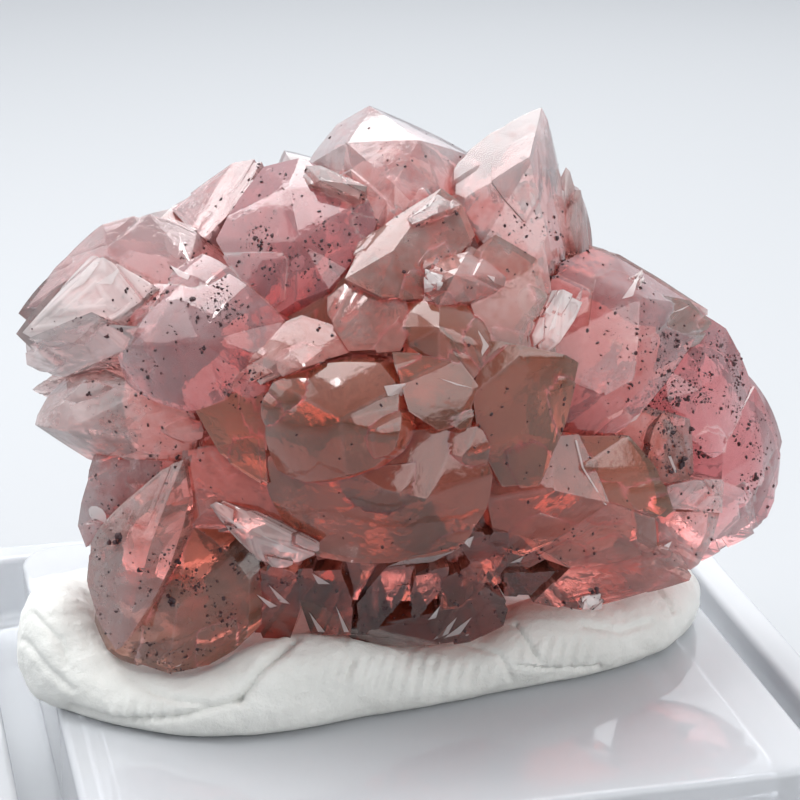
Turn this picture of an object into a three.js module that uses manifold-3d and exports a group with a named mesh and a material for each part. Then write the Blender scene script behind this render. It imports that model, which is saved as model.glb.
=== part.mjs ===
// A smithsonite specimen: one cluster of intergrown, curved-faced crystals, pressed into a hand-rolled
// bead of mineral putty on the clear moulded base of a small specimen box.
// Units are millimetres and +Z is up. The origin is under the centre of the base, on the surface it
// stands on. The base is square to the X and Y axes. The specimen was set down a little askew, so it is
// in a turned group.

import * as THREE from 'three';
import { mergeVertices } from 'three/addons/utils/BufferGeometryUtils.js';
import Module from 'manifold-3d';

const wasm = await Module();
wasm.setup();

// ---------------------------------------------------------------- driving dimensions

// Clear base: an outer rim, a channel for the lid, and a raised deck that is hollow underneath.
const BOX_SIZE = 31.8;
const BOX_CORNER = 2.4;
const WALL = 1.4;
const RIM_HEIGHT = 5.2;
const CHANNEL_WIDTH = 1.8;
const CHANNEL_FLOOR_LOW = 1.4;
const CHANNEL_FLOOR_HIGH = 2.6;
const DECK_TOP = 6.4;
const DECK_THICKNESS = 1.4;
const CORNER_STEPS = 4;

// How the specimen sits on the deck: the putty lies just clear of it, and just clear of the crystals.
const SPECIMEN_TURN_DEG = -13.2;
const SEAT_GAP = 0.3;
const PUTTY_CLEARANCE = 0.6;

// Crystal form: a rhombohedron whose six side corners stand alternately above and below its middle.
const SIDE_CORNERS = 6;
const CORNER_RISE = 1 / 3;
const FACE_STEPS = 3;

// ---------------------------------------------------------------- the crystals

// Each crystal, in the specimen's own frame (X right, Y away, Z up from the deck):
// root point, tip point, half breadth, half thickness, roll in degrees about its length,
// how far its faces curve out (0 flat, 1 fully rounded), and how far it runs back past its root.
const CRYSTALS = [
  // left fan: three stepped parallel tips, then the side crystals below them
  [[-8.6, 0.3, 14.1], [-13.2, -0.6, 13.4], 2.8, 2.5, 62, 0.35, 0.9],
  [[-9.5, -1.0, 13.4], [-13.1, -2.0, 13.1], 2.7, 2.2, 62, 0.3, 1.0],
  [[-9.6, -1.8, 13.1], [-12.7, -2.9, 12.7], 2.0, 1.8, 50, 0.45, 1.2],
  [[-6.2, 0.3, 15.2], [-8.1, -1.2, 16.9], 2.4, 2.1, 25, 0.45, 0.9],
  [[-10.2, -1.0, 11.3], [-12.6, -2.0, 11.0], 0.7, 0.7, 0, 0.2, 1.0],
  [[-9.5, -3.0, 10.8], [-12.5, -3.9, 10.4], 2.5, 2.2, 62, 0.3, 1.3],
  [[-8.7, -1.0, 6.7], [-11.4, -2.0, 6.0], 3.0, 2.6, 62, 0.55, 1.0],
  [[-5.4, -1.6, 12.6], [-8.1, -4.6, 14.8], 3.3, 2.9, 20, 0.6, 0.9],
  [[-5.8, -2.4, 10.2], [-7.8, -5.3, 10.4], 2.7, 2.4, 40, 0.6, 0.9],
  // lower left: a leaf-shaped blade in front of a rounded crystal that sits in the putty
  [[-8.4, -4.6, 5.6], [-9.7, -6.0, 2.5], 2.0, 1.3, 60, 0.55, 0.9],
  [[-8.4, -4.3, 6.0], [-6.9, -4.9, 9.6], 1.7, 1.1, 62, 0.45, 0.6],
  [[-7.0, -2.5, 4.4], [-8.0, -3.4, 0.7], 3.6, 3.0, 30, 0.65, 0.9],
  [[-4.6, -6.2, 7.6], [-2.4, -7.2, 7.1], 0.9, 0.6, 60, 0.35, 1.0],
  // top: two tall points, with stepped and splintered neighbours
  [[-4.9, 2.0, 14.9], [-5.5, 1.5, 18.4], 2.6, 1.8, 35, 0.35, 0.8],
  [[-3.5, -1.0, 15.6], [-3.1, -1.8, 19.7], 3.3, 3.0, 60, 0.42, 0.9],
  [[-1.5, -0.4, 17.8], [-2.6, -1.4, 19.5], 1.2, 1.0, 60, 0.35, 0.8],
  [[0.0, 2.0, 16.4], [-0.6, 1.0, 20.7], 3.6, 2.8, 56, 0.3, 0.7],
  [[-0.2, 0.7, 17.0], [-0.3, -0.8, 19.9], 3.2, 2.6, 60, 0.35, 1.1],
  [[4.3, 0.7, 17.4], [5.3, -0.5, 20.9], 2.4, 2.4, 28, 0.32, 1.1],
  [[4.5, -0.3, 15.2], [3.9, -1.6, 18.5], 2.7, 2.3, 30, 0.4, 0.9],
  [[5.7, 1.2, 16.0], [6.3, 1.0, 18.6], 0.9, 0.9, 0, 0.3, 1.2],
  [[6.2, 1.4, 15.2], [6.8, 1.2, 17.6], 0.8, 0.8, 0, 0.3, 1.2],
  // right: one broad crystal with a stepped lower edge, then the rounded outer mass and its blocky foot
  [[6.3, -1.2, 12.2], [11.4, -1.2, 13.3], 3.9, 2.8, 62, 0.35, 0.6],
  [[6.3, -1.5, 11.5], [10.5, -2.0, 12.6], 3.0, 2.5, 62, 0.4, 0.6],
  [[9.2, 1.8, 11.8], [7.6, 1.0, 14.9], 2.4, 2.0, 35, 0.35, 0.8],
  [[10.3, 2.5, 9.6], [13.0, 2.3, 10.9], 3.2, 2.8, 40, 0.65, 0.8],
  [[10.9, 2.4, 7.4], [14.8, 2.8, 7.2], 3.6, 3.1, 25, 0.6, 0.8],
  [[11.3, 1.8, 5.6], [14.4, 1.9, 4.2], 3.1, 2.7, 50, 0.55, 0.8],
  [[9.3, 0.2, 9.0], [12.7, -0.5, 9.0], 3.1, 2.8, 60, 0.6, 0.9],
  [[9.1, -0.8, 7.2], [12.1, -1.5, 6.7], 2.5, 2.3, 60, 0.3, 1.2],
  [[9.6, -0.3, 5.2], [12.1, -0.2, 4.3], 2.4, 2.3, 20, 0.4, 1.2],
  [[7.6, -0.6, 4.6], [10.6, -0.6, 2.6], 2.4, 2.2, 40, 0.45, 1.2],
  // front: the large boss that points forward, and the crystals round it
  [[-0.4, -1.5, 8.3], [-0.2, -8.8, 10.6], 4.0, 3.8, 15, 0.75, 0.8],
  [[-1.5, -3.2, 9.6], [-1.6, -9.0, 12.9], 2.5, 2.4, 30, 0.6, 0.8],
  [[1.6, -3.0, 8.2], [2.8, -7.4, 8.8], 2.5, 2.4, 20, 0.55, 0.8],
  [[1.7, -3.0, 9.9], [2.9, -7.0, 13.1], 2.0, 1.9, 0, 0.35, 0.8],
  [[4.5, -2.0, 8.7], [6.4, -5.8, 13.4], 2.4, 2.1, 30, 0.35, 0.9],
  [[5.3, -2.0, 7.2], [5.9, -5.2, 10.7], 2.4, 2.2, 60, 0.45, 0.9],
  [[5.5, -2.0, 11.8], [6.3, -3.6, 15.4], 1.5, 1.5, 20, 0.3, 0.9],
  [[0.6, -1.2, 13.2], [3.4, -5.6, 13.8], 2.4, 2.2, 0, 0.5, 0.8],
  [[0.4, -1.0, 13.7], [0.3, -3.4, 17.4], 2.5, 2.3, 20, 0.5, 0.8],
  [[2.7, -1.0, 14.4], [1.5, -3.3, 17.9], 1.8, 1.6, 20, 0.35, 0.8],
  [[3.4, -1.0, 14.0], [2.8, -3.9, 17.1], 2.0, 1.8, 60, 0.35, 0.8],
  [[-1.9, -1.0, 12.3], [-4.3, -4.8, 13.6], 2.2, 2.1, 40, 0.5, 0.8],
  // foot of the front: short blades just above the putty
  [[0.4, -2.5, 4.7], [-1.9, -5.2, 3.8], 1.8, 1.6, 0, 0.35, 0.8],
  [[1.5, -3.0, 5.5], [0.4, -4.8, 2.6], 1.6, 1.5, 20, 0.35, 0.8],
  [[2.9, -2.0, 4.0], [3.3, -4.2, 2.1], 1.9, 1.7, 0, 0.35, 0.8],
  [[5.1, -2.0, 5.6], [5.6, -3.6, 3.1], 2.7, 2.2, 10, 0.45, 0.8],
  [[-2.8, -2.5, 4.7], [-4.3, -4.9, 2.6], 1.9, 1.6, 10, 0.35, 0.8],
  [[3.4, -3.0, 6.4], [4.9, -5.8, 6.5], 2.3, 2.1, 30, 0.45, 0.8],
  [[-4.2, -3.0, 6.4], [-6.1, -5.6, 8.3], 1.8, 1.8, 40, 0.4, 0.8],
  // the mother crystal that the others grew out of
  [[0.4, -0.2, 9.4], [0.4, -0.2, 16.0], 10.6, 6.4, 0, 0.9, 1.25],
];

// The far side is a fan of rings round the same middle: elevation, count, first azimuth and half breadth.
const FAN_MIDDLE = [0.4, 0.8, 10.6];
const FAN_REACH = [12.0, 8.2, 9.2];
const FAN_ROOT_SHARE = 0.52;
const FAN_RINGS = [
  { elevation: -54, count: 5, first: 18, breadth: 3.5 },
  { elevation: -24, count: 7, first: 8, breadth: 3.6 },
  { elevation: 6, count: 6, first: 16, breadth: 3.9 },
  { elevation: 30, count: 4, first: 46, breadth: 3.4 },
  { elevation: 52, count: 2, first: 62, breadth: 3.0 },
];

// ---------------------------------------------------------------- the putty

// The rolled bead's centre line on the deck, anticlockwise from the left end: x, y, half width, height.
const BEAD = [
  [-12.1, -1.8, 1.5, 3.5], [-11.6, -3.9, 1.6, 3.7], [-9.4, -5.5, 1.4, 1.9], [-6.8, -6.4, 1.3, 1.8],
  [-4.2, -6.1, 1.5, 3.0], [-1.5, -5.1, 1.5, 2.9], [0.9, -4.2, 1.4, 2.1], [3.1, -3.3, 1.4, 2.2],
  [5.0, -2.5, 1.5, 3.0], [7.6, -1.3, 1.4, 2.4], [9.9, 0.8, 1.4, 2.3], [10.8, 3.0, 1.2, 2.1],
  [9.6, 4.9, 1.4, 2.3], [5.4, 6.1, 1.4, 2.3], [0.4, 6.0, 1.5, 2.6], [-4.6, 5.2, 1.4, 2.4],
  [-9.2, 3.4, 1.5, 2.4], [-11.8, 0.6, 1.5, 2.5],
];
const BEAD_STEPS = 4;
const BEAD_SECTION = 10;
const BEAD_MIDDLE_SHARE = 0.42;
const PAD_HEIGHT = 1.6;

// ---------------------------------------------------------------- helpers

function solid(geometry) {
  const bare = geometry.clone();
  bare.deleteAttribute('normal');
  bare.deleteAttribute('uv');
  const merged = mergeVertices(bare, 1e-4);
  return new wasm.Manifold(new wasm.Mesh({
    numProp: 3,
    vertProperties: new Float32Array(merged.attributes.position.array),
    triVerts: new Uint32Array(merged.index.array),
  }));
}

function geometryOf(manifold) {
  const mesh = manifold.getMesh();
  const geometry = new THREE.BufferGeometry();
  geometry.setAttribute('position', new THREE.BufferAttribute(new Float32Array(mesh.vertProperties), 3));
  geometry.setIndex(new THREE.BufferAttribute(new Uint32Array(mesh.triVerts), 1));
  return geometry;
}

function union(geometries) {
  return geometries.map(solid).reduce((whole, piece) => whole.add(piece));
}

function triangleGeometry(triangles) {
  const geometry = new THREE.BufferGeometry();
  const numbers = triangles.flat().flatMap((point) => [point.x, point.y, point.z]);
  geometry.setAttribute('position', new THREE.Float32BufferAttribute(numbers, 3));
  return geometry;
}

// ---------------------------------------------------------------- crystal forms

// Splits one flat triangle into steps x steps smaller ones, in the same turning sense.
function splitTriangle([a, b, c], steps) {
  const at = (i, j) => a.clone()
    .addScaledVector(b.clone().sub(a), i / steps)
    .addScaledVector(c.clone().sub(a), j / steps);
  const small = [];
  for (let i = 0; i < steps; i += 1) {
    for (let j = 0; j < steps - i; j += 1) {
      small.push([at(i, j), at(i + 1, j), at(i, j + 1)]);
      if (j < steps - i - 1) small.push([at(i + 1, j), at(i + 1, j + 1), at(i, j + 1)]);
    }
  }
  return small;
}

// The unit form: tips at z = 1 and -1, side corners at radius 1.
function unitFaces() {
  const tip = new THREE.Vector3(0, 0, 1);
  const foot = new THREE.Vector3(0, 0, -1);
  const corner = (i) => {
    const angle = (i % SIDE_CORNERS) * 2 * Math.PI / SIDE_CORNERS;
    return new THREE.Vector3(Math.cos(angle), Math.sin(angle), i % 2 === 0 ? CORNER_RISE : -CORNER_RISE);
  };
  const faces = [];
  for (let i = 0; i < SIDE_CORNERS; i += 1) {
    faces.push([tip, corner(i), corner(i + 1)], [foot, corner(i + 1), corner(i)]);
  }
  return faces.flatMap((face) => splitTriangle(face, FACE_STEPS));
}

const UNIT_FACES = unitFaces();

// One crystal from its row. Its thickness lies towards the viewer (-Y) and its breadth across.
function crystalGeometry([root, tip, breadth, thickness, roll, curve, back], grow = 0) {
  const start = new THREE.Vector3(...root);
  const along = new THREE.Vector3(...tip).sub(start);
  const length = along.length() + grow;
  along.normalize();
  const front = new THREE.Vector3(0, -1, 0);
  front.addScaledVector(along, -front.dot(along)).normalize();
  const across = along.clone().cross(front);
  const turn = THREE.MathUtils.degToRad(roll);
  const place = (point) => {
    const curved = point.clone().multiplyScalar(1 - curve + curve / point.length());
    const x = curved.x * Math.cos(turn) - curved.y * Math.sin(turn);
    const y = curved.x * Math.sin(turn) + curved.y * Math.cos(turn);
    const z = curved.z * (curved.z > 0 ? length : length * back);
    return start.clone()
      .addScaledVector(front, x * (thickness + grow))
      .addScaledVector(across, y * (breadth + grow))
      .addScaledVector(along, z);
  };
  return triangleGeometry(UNIT_FACES.map((face) => face.map(place)));
}

function fanCrystals() {
  const rows = [];
  for (const ring of FAN_RINGS) {
    for (let i = 0; i < ring.count; i += 1) {
      const wobble = Math.sin(5 * rows.length);
      const sweep = (180 - 2 * ring.first) * i / (ring.count - 1);
      const azimuth = THREE.MathUtils.degToRad(ring.first + sweep + 3 * wobble);
      const elevation = THREE.MathUtils.degToRad(ring.elevation + 6 * Math.cos(7 * rows.length));
      const direction = [
        Math.cos(azimuth) * Math.cos(elevation),
        Math.sin(azimuth) * Math.cos(elevation),
        Math.sin(elevation),
      ];
      const reachTo = (share) => FAN_MIDDLE.map((middle, k) => middle + FAN_REACH[k] * direction[k] * share);
      const root = reachTo(FAN_ROOT_SHARE);
      const tip = reachTo(1 + 0.05 * wobble);
      const roll = (37 * rows.length) % 120;
      const curve = 0.42 + 0.12 * wobble;
      rows.push([root, tip, ring.breadth, 0.9 * ring.breadth, roll, curve, 0.9]);
    }
  }
  return rows;
}

const ALL_CRYSTALS = [...CRYSTALS, ...fanCrystals()];

function clusterSolid(grow) {
  return union(ALL_CRYSTALS.map((row) => crystalGeometry(row, grow)));
}

// ---------------------------------------------------------------- putty forms

// A smooth value between control rows, running round and back to the first.
function roundTrip(rows, index, share) {
  const at = (k) => rows[(index + k + rows.length) % rows.length];
  const [p0, p1, p2, p3] = [at(-1), at(0), at(1), at(2)];
  return p1.map((value, k) => {
    const slope = p2[k] - p0[k];
    const bend = 2 * p0[k] - 5 * value + 4 * p2[k] - p3[k];
    const rest = -p0[k] + 3 * value - 3 * p2[k] + p3[k];
    return value + 0.5 * share * (slope + share * (bend + share * rest));
  });
}

function beadRings() {
  const rings = [];
  BEAD.forEach((_, index) => {
    for (let step = 0; step < BEAD_STEPS; step += 1) rings.push(roundTrip(BEAD, index, step / BEAD_STEPS));
  });
  return rings;
}

function beadGeometry(rings) {
  const sections = rings.map(([x, y, halfWidth, height], i) => {
    const before = rings[(i + rings.length - 1) % rings.length];
    const after = rings[(i + 1) % rings.length];
    const outward = new THREE.Vector3(after[1] - before[1], before[0] - after[0], 0).normalize();
    return Array.from({ length: BEAD_SECTION }, (_, j) => {
      const angle = j * 2 * Math.PI / BEAD_SECTION;
      const up = height * (BEAD_MIDDLE_SHARE + (1 - BEAD_MIDDLE_SHARE) * Math.sin(angle));
      const middle = new THREE.Vector3(x, y, Math.max(SEAT_GAP, up));
      return middle.addScaledVector(outward, halfWidth * Math.cos(angle));
    });
  });
  const triangles = [];
  sections.forEach((section, i) => {
    const next = sections[(i + 1) % sections.length];
    for (let j = 0; j < BEAD_SECTION; j += 1) {
      const k = (j + 1) % BEAD_SECTION;
      triangles.push([section[j], next[j], next[k]], [section[j], next[k], section[k]]);
    }
  });
  return triangleGeometry(triangles);
}

function padGeometry(rings) {
  const outline = new THREE.Shape(rings.map(([x, y]) => new THREE.Vector2(x, y)));
  return new THREE.ExtrudeGeometry(outline, { depth: PAD_HEIGHT - SEAT_GAP, bevelEnabled: false })
    .translate(0, 0, SEAT_GAP);
}

function puttySolid() {
  const rings = beadRings();
  const lump = union([beadGeometry(rings), padGeometry(rings)]);
  return lump.subtract(clusterSolid(PUTTY_CLEARANCE));
}

// ---------------------------------------------------------------- base forms

function roundedSquare(path, size, radius) {
  const half = size / 2;
  const inner = half - radius;
  path.moveTo(half, -inner);
  path.absarc(inner, inner, radius, 0, Math.PI / 2);
  path.absarc(-inner, inner, radius, Math.PI / 2, Math.PI);
  path.absarc(-inner, -inner, radius, Math.PI, 1.5 * Math.PI);
  path.absarc(inner, -inner, radius, 1.5 * Math.PI, 2 * Math.PI);
  return path;
}

// A rounded square plate, or a frame where an inner size is given, between two heights.
function plate(outerSize, outerRadius, low, high, innerSize = 0, innerRadius = 0) {
  const shape = roundedSquare(new THREE.Shape(), outerSize, outerRadius);
  if (innerSize > 0) shape.holes.push(roundedSquare(new THREE.Path(), innerSize, innerRadius));
  const options = { depth: high - low, bevelEnabled: false, curveSegments: CORNER_STEPS };
  return new THREE.ExtrudeGeometry(shape, options).translate(0, 0, low);
}

function baseSolid() {
  const rimInner = BOX_SIZE - 2 * WALL;
  const deck = rimInner - 2 * CHANNEL_WIDTH;
  const hollow = deck - 2 * WALL;
  const rimInnerCorner = BOX_CORNER - WALL / 2;
  const deckCorner = BOX_CORNER - WALL / 2;
  const hollowCorner = deckCorner - WALL / 2;
  const lap = WALL / 2;
  return union([
    plate(BOX_SIZE, BOX_CORNER, 0, RIM_HEIGHT, rimInner, rimInnerCorner),
    plate(rimInner + lap, BOX_CORNER, CHANNEL_FLOOR_LOW, CHANNEL_FLOOR_HIGH, hollow + lap, hollowCorner),
    plate(deck, deckCorner, CHANNEL_FLOOR_LOW, DECK_TOP, hollow, hollowCorner),
    plate(deck - lap, deckCorner, DECK_TOP - DECK_THICKNESS, DECK_TOP),
  ]);
}

// ---------------------------------------------------------------- the part

function sub(name, manifold, look) {
  const mesh = new THREE.Mesh(geometryOf(manifold), new THREE.MeshStandardMaterial(look));
  mesh.name = name;
  return mesh;
}

const base = sub('clear_box_base', baseSolid(), {
  color: 0xe9eef4, roughness: 0.08, metalness: 0, transparent: true, opacity: 0.4,
});
const putty = sub('mineral_putty', puttySolid(), { color: 0xdfe1dc, roughness: 0.55, metalness: 0 });
const cluster = sub('smithsonite_cluster', clusterSolid(0), {
  color: 0xcf8f88, roughness: 0.15, metalness: 0, transparent: true, opacity: 0.85,
});

const specimen = new THREE.Group();
specimen.add(putty, cluster);
specimen.position.z = DECK_TOP;
specimen.rotation.z = THREE.MathUtils.degToRad(SPECIMEN_TURN_DEG);

const part = new THREE.Group();
part.add(base, specimen);
part.updateMatrixWorld(true);

export default part;
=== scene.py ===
# %% [markdown]
# # A smithsonite specimen in mineral putty on a clear box base
#
# Three pieces are made here: the clear moulded base, the hand-rolled bead of putty, and the cluster of
# curved pink crystals with everything that is sealed in it. The construction model is loaded first, as a
# fixed frame: it says how big each piece is and where it lies, and each finished piece takes the place of
# one of its solids, which is hidden.

import itertools
import math
from functools import cache

import bmesh
import bpy
import numpy as np
from mathutils import Matrix, Vector
from mathutils.bvhtree import BVHTree


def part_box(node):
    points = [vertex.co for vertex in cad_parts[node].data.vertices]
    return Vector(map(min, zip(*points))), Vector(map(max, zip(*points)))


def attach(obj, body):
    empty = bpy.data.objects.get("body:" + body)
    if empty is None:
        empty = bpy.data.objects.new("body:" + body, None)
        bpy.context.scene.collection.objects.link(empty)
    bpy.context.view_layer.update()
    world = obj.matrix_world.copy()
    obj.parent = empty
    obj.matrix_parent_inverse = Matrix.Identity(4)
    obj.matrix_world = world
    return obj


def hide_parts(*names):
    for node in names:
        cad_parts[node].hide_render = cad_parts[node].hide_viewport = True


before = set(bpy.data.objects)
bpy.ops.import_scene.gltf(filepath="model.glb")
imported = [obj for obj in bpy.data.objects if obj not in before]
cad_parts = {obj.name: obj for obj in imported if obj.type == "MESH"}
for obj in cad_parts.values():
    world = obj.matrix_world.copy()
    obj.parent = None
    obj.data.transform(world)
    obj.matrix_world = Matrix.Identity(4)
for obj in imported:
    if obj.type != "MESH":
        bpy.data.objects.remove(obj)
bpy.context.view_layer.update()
print("frame nodes:", sorted(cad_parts))

# %% [markdown]
# ## Where things stand
#
# Lengths are easiest to read in millimetres, so each piece is modelled in millimetres in the specimen's
# own frame: X right, Y away, Z up, with zero on the middle of the deck. One matrix then carries a
# finished mesh to its place, in metres. The specimen was set down a little askew on its square base,
# so that matrix also turns it.

# %% Seat of the specimen
MM = 0.001
SPECIMEN_TURN = math.radians(-13.2)

base_low, base_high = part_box("clear_box_base")
BOX_SIZE = (base_high[0] - base_low[0]) / MM
DECK_TOP = base_high[2] / MM
seat = (
    Matrix.Translation((0, 0, DECK_TOP * MM))
    @ Matrix.Rotation(SPECIMEN_TURN, 4, "Z")
    @ Matrix.Scale(MM, 4)
)
print(f"base {BOX_SIZE:.1f} mm square, deck {DECK_TOP:.1f} mm up")

# %% [markdown]
# ## The camera
#
# A long lens from close by, looking down at 20 degrees, keeps the crystals' true proportions and shows
# both their fronts and the top of the putty. It comes first because some small marks are later placed
# by where they are seen: `view_ray` turns a column and row of an 800 x 800 view into a line in space.

# %% Camera
VIEW_SIZE = 800
VIEW_MIDDLE = VIEW_SIZE / 2
SENSOR = 36.0
LENS = 116.3
FOCUS = LENS / SENSOR * VIEW_SIZE
CAMERA_PITCH = math.radians(20)
CAMERA_PLACE = Vector((0.4, -88.2, 42.0))
NEAREST_SEEN = 5 * MM
FARTHEST_SEEN = 20

camera_data = bpy.data.cameras.new("camera")
camera_data.lens = LENS
camera_data.sensor_width = SENSOR
camera_data.clip_start = NEAREST_SEEN
camera_data.clip_end = FARTHEST_SEEN
camera = bpy.data.objects.new("camera", camera_data)
bpy.context.scene.collection.objects.link(camera)
camera.location = seat @ CAMERA_PLACE
camera.rotation_euler = (math.pi / 2 - CAMERA_PITCH, 0, SPECIMEN_TURN)
bpy.context.scene.camera = camera


def view_ray(column, row):
    """Direction, in the specimen's frame, of one place in the view."""
    ray = Vector(((column - VIEW_MIDDLE) / FOCUS, (VIEW_MIDDLE - row) / FOCUS, -1))
    ray.rotate(Matrix.Rotation(math.pi / 2 - CAMERA_PITCH, 3, "X"))
    return ray.normalized()


VIEW_AHEAD = np.array(view_ray(VIEW_MIDDLE, VIEW_MIDDLE))
VIEW_UP = np.array([0, math.sin(CAMERA_PITCH), math.cos(CAMERA_PITCH)])


def seen_from(points):
    """Columns and rows of the view at which points of the specimen's frame are seen."""
    away = np.asarray(points) - np.array(CAMERA_PLACE)
    depth = away @ VIEW_AHEAD
    return VIEW_MIDDLE + FOCUS * away[:, 0] / depth, VIEW_MIDDLE - FOCUS * (away @ VIEW_UP) / depth


def seen_on(tree, column, row):
    """Where the line of sight through a column and row first meets a surface, and the normal there."""
    place, normal, _, _ = tree.ray_cast(CAMERA_PLACE, view_ray(column, row))
    return place, normal


print("camera looks along", VIEW_AHEAD.round(3))

# %% [markdown]
# ## Tools for meshes
#
# A mesh is a list of points and a list of faces. `new_piece` makes an object from them, `seated` carries
# it to its place, and `lumpy` gives a smooth random number at any point in space. Noise made from a
# hashed lattice needs no stored table and is the same on every run.

# %% Mesh helpers
def new_piece(name, points, faces, **values):
    """An object from points and faces, with one number a point for each named value."""
    mesh = bpy.data.meshes.new(name)
    mesh.from_pydata(np.asarray(points).tolist(), [], [list(face) for face in faces])
    mesh.update()
    piece = bpy.data.objects.new(name, mesh)
    bpy.context.scene.collection.objects.link(piece)
    for label, numbers in values.items():
        add_layer(piece, label, numbers)
    return piece


def add_layer(piece, label, numbers):
    """Gives each point of a piece a number, which its material can read by name."""
    layer = piece.data.attributes.new(label, "FLOAT", "POINT")
    layer.data.foreach_set("value", np.asarray(numbers, dtype=np.float32))


def points_of(mesh, what="co"):
    """The place of each point of a mesh, or its normal."""
    flat = np.empty(3 * len(mesh.vertices))
    mesh.vertices.foreach_get(what, flat)
    return flat.reshape(-1, 3)


def set_points(mesh, points):
    """Moves the points of a mesh."""
    mesh.vertices.foreach_set("co", np.asarray(points, dtype=np.float32).ravel())
    mesh.update()


def evaluated(piece, keep_finish=False):
    """The mesh that a piece's modifiers make. They are then taken off, and the piece keeps the mesh."""
    depsgraph = bpy.context.evaluated_depsgraph_get()
    mesh = bpy.data.meshes.new_from_object(piece.evaluated_get(depsgraph))
    if not keep_finish:
        mesh.materials.clear()
    piece.modifiers.clear()
    piece.data = mesh
    return mesh


def seated(piece, node, crease_degrees):
    """Carries a piece from millimetres to its place, and hides the solid of the frame that it replaces, if one
    is named.
    """
    piece.data.transform(seat)
    shade(piece, crease_degrees)
    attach(piece, "root")
    if node:
        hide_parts(node)


def shade(piece, crease_degrees):
    """Smooth shading, with edges sharper than an angle kept as creases."""
    piece.data.shade_smooth()
    piece.data.set_sharp_from_angle(angle=math.radians(crease_degrees))


# %% Smooth noise
CELL_MIX = np.array([127.1, 311.7, 74.7])
SEED_MIX = 19.19
SCRAMBLE = 43758.5453


def lattice_value(cell, seed):
    """A number from -1 to 1 for each whole-numbered cell, scrambled by sines of large multiples."""
    return 2 * np.mod(np.sin(cell @ CELL_MIX + SEED_MIX * seed) * SCRAMBLE, 1.0) - 1


def lumpy(points, size, seed=0):
    """Smooth noise whose lumps are about `size` across."""
    place = np.asarray(points) / size
    cell = np.floor(place)
    share = place - cell
    share = share * share * (3 - 2 * share)
    total = np.zeros(len(place))
    for corner in np.ndindex(2, 2, 2):
        weight = np.prod(np.where(corner, share, 1 - share), axis=1)
        total += weight * lattice_value(cell + corner, seed)
    return total


print("noise at zero:", lumpy(np.zeros((1, 3)), 1.0).round(3))

# %% [markdown]
# ## The clear base
#
# A moulded base is one wall thickness everywhere, with every edge a little rounded by the tool. Its
# section is drawn once, from the middle of the deck outwards, down into the lid channel, over the rim,
# round the foot and back under the deck. Each point of the section becomes a rounded-square ring, and
# neighbouring rings are joined with faces. Lofting rings this way gives clean edge highlights, which a
# bevel on a cut block often doesn't.

# %% Section of the base
WALL = 1.4
RIM_HEIGHT = 5.2
CHANNEL_WIDTH = 1.8
CHANNEL_FLOOR_LOW = 1.4
CHANNEL_FLOOR_HIGH = 2.6
DECK_THICKNESS = 1.4
EDGE_ROUND = 0.28
EDGE_STEPS = 4
CORNER_STEPS = 8
BASE_CREASE = 40

outer = BOX_SIZE / 2
rim_inner = outer - WALL
deck_edge = rim_inner - CHANNEL_WIDTH
hollow = deck_edge - WALL
PLAN_CORNERS = {hollow: 1.0, deck_edge: 1.7, rim_inner: 1.7, outer: 2.4}

base_section = [
    (deck_edge, DECK_TOP),
    (deck_edge, CHANNEL_FLOOR_HIGH),
    (rim_inner, CHANNEL_FLOOR_HIGH),
    (rim_inner, RIM_HEIGHT),
    (outer, RIM_HEIGHT),
    (outer, 0.0),
    (rim_inner, 0.0),
    (rim_inner, CHANNEL_FLOOR_LOW),
    (hollow, CHANNEL_FLOOR_LOW),
    (hollow, DECK_TOP - DECK_THICKNESS),
]


def rounded_section(section, start, end):
    """The same section with each corner turned into a short arc."""
    line = [start, *section, end]
    rounded = [start]
    for before, corner, after in zip(line, line[1:], line[2:]):
        corner, before, after = Vector(corner), Vector(before), Vector(after)
        arm_in = (before - corner).normalized() * EDGE_ROUND
        arm_out = (after - corner).normalized() * EDGE_ROUND
        for step in range(EDGE_STEPS + 1):
            turn = step / EDGE_STEPS * math.pi / 2
            inward = arm_in * (1 - math.sin(turn)) + arm_out * (1 - math.cos(turn))
            rounded.append(tuple(corner + inward))
    return [*rounded, end]


def square_ring(half, height):
    """One level ring: a square with its corners rounded."""
    corner = np.interp(half, list(PLAN_CORNERS), list(PLAN_CORNERS.values()))
    reach = (half - corner) * math.sqrt(2)
    ring = []
    for quarter in range(4):
        start = quarter * math.pi / 2
        middle = start + math.pi / 4
        for step in range(CORNER_STEPS + 1):
            angle = start + step / CORNER_STEPS * math.pi / 2
            x = reach * math.cos(middle) + corner * math.cos(angle)
            y = reach * math.sin(middle) + corner * math.sin(angle)
            ring.append((x, y, height))
    return ring


# %% Loft the base
def closed_loft(rings):
    """Faces between neighbouring rings, with the first and last ring closed by one face each."""
    count = len(rings[0])
    points = [point for ring in rings for point in ring]
    faces = []
    for level in range(len(rings) - 1):
        first, second = level * count, (level + 1) * count
        for i in range(count):
            j = (i + 1) % count
            faces.append((first + i, second + i, second + j, first + j))
    faces.append(range(count))
    last = (len(rings) - 1) * count
    faces.append(range(last + count - 1, last - 1, -1))
    return points, faces


# the innermost rings lie this far in from the edges, and one face closes each
INSET = 2.0
deck_middle = (deck_edge - INSET, DECK_TOP)
under_middle = (hollow - INSET, DECK_TOP - DECK_THICKNESS)
section = rounded_section(base_section, deck_middle, under_middle)
base_points, base_faces = closed_loft([square_ring(half, height) for half, height in section])
base = new_piece("clear_base", np.array(base_points) * MM, base_faces)
shade(base, BASE_CREASE)
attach(base, "root")
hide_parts("clear_box_base")
print("base section has", len(section), "points and the mesh", len(base.data.polygons), "faces")

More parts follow.
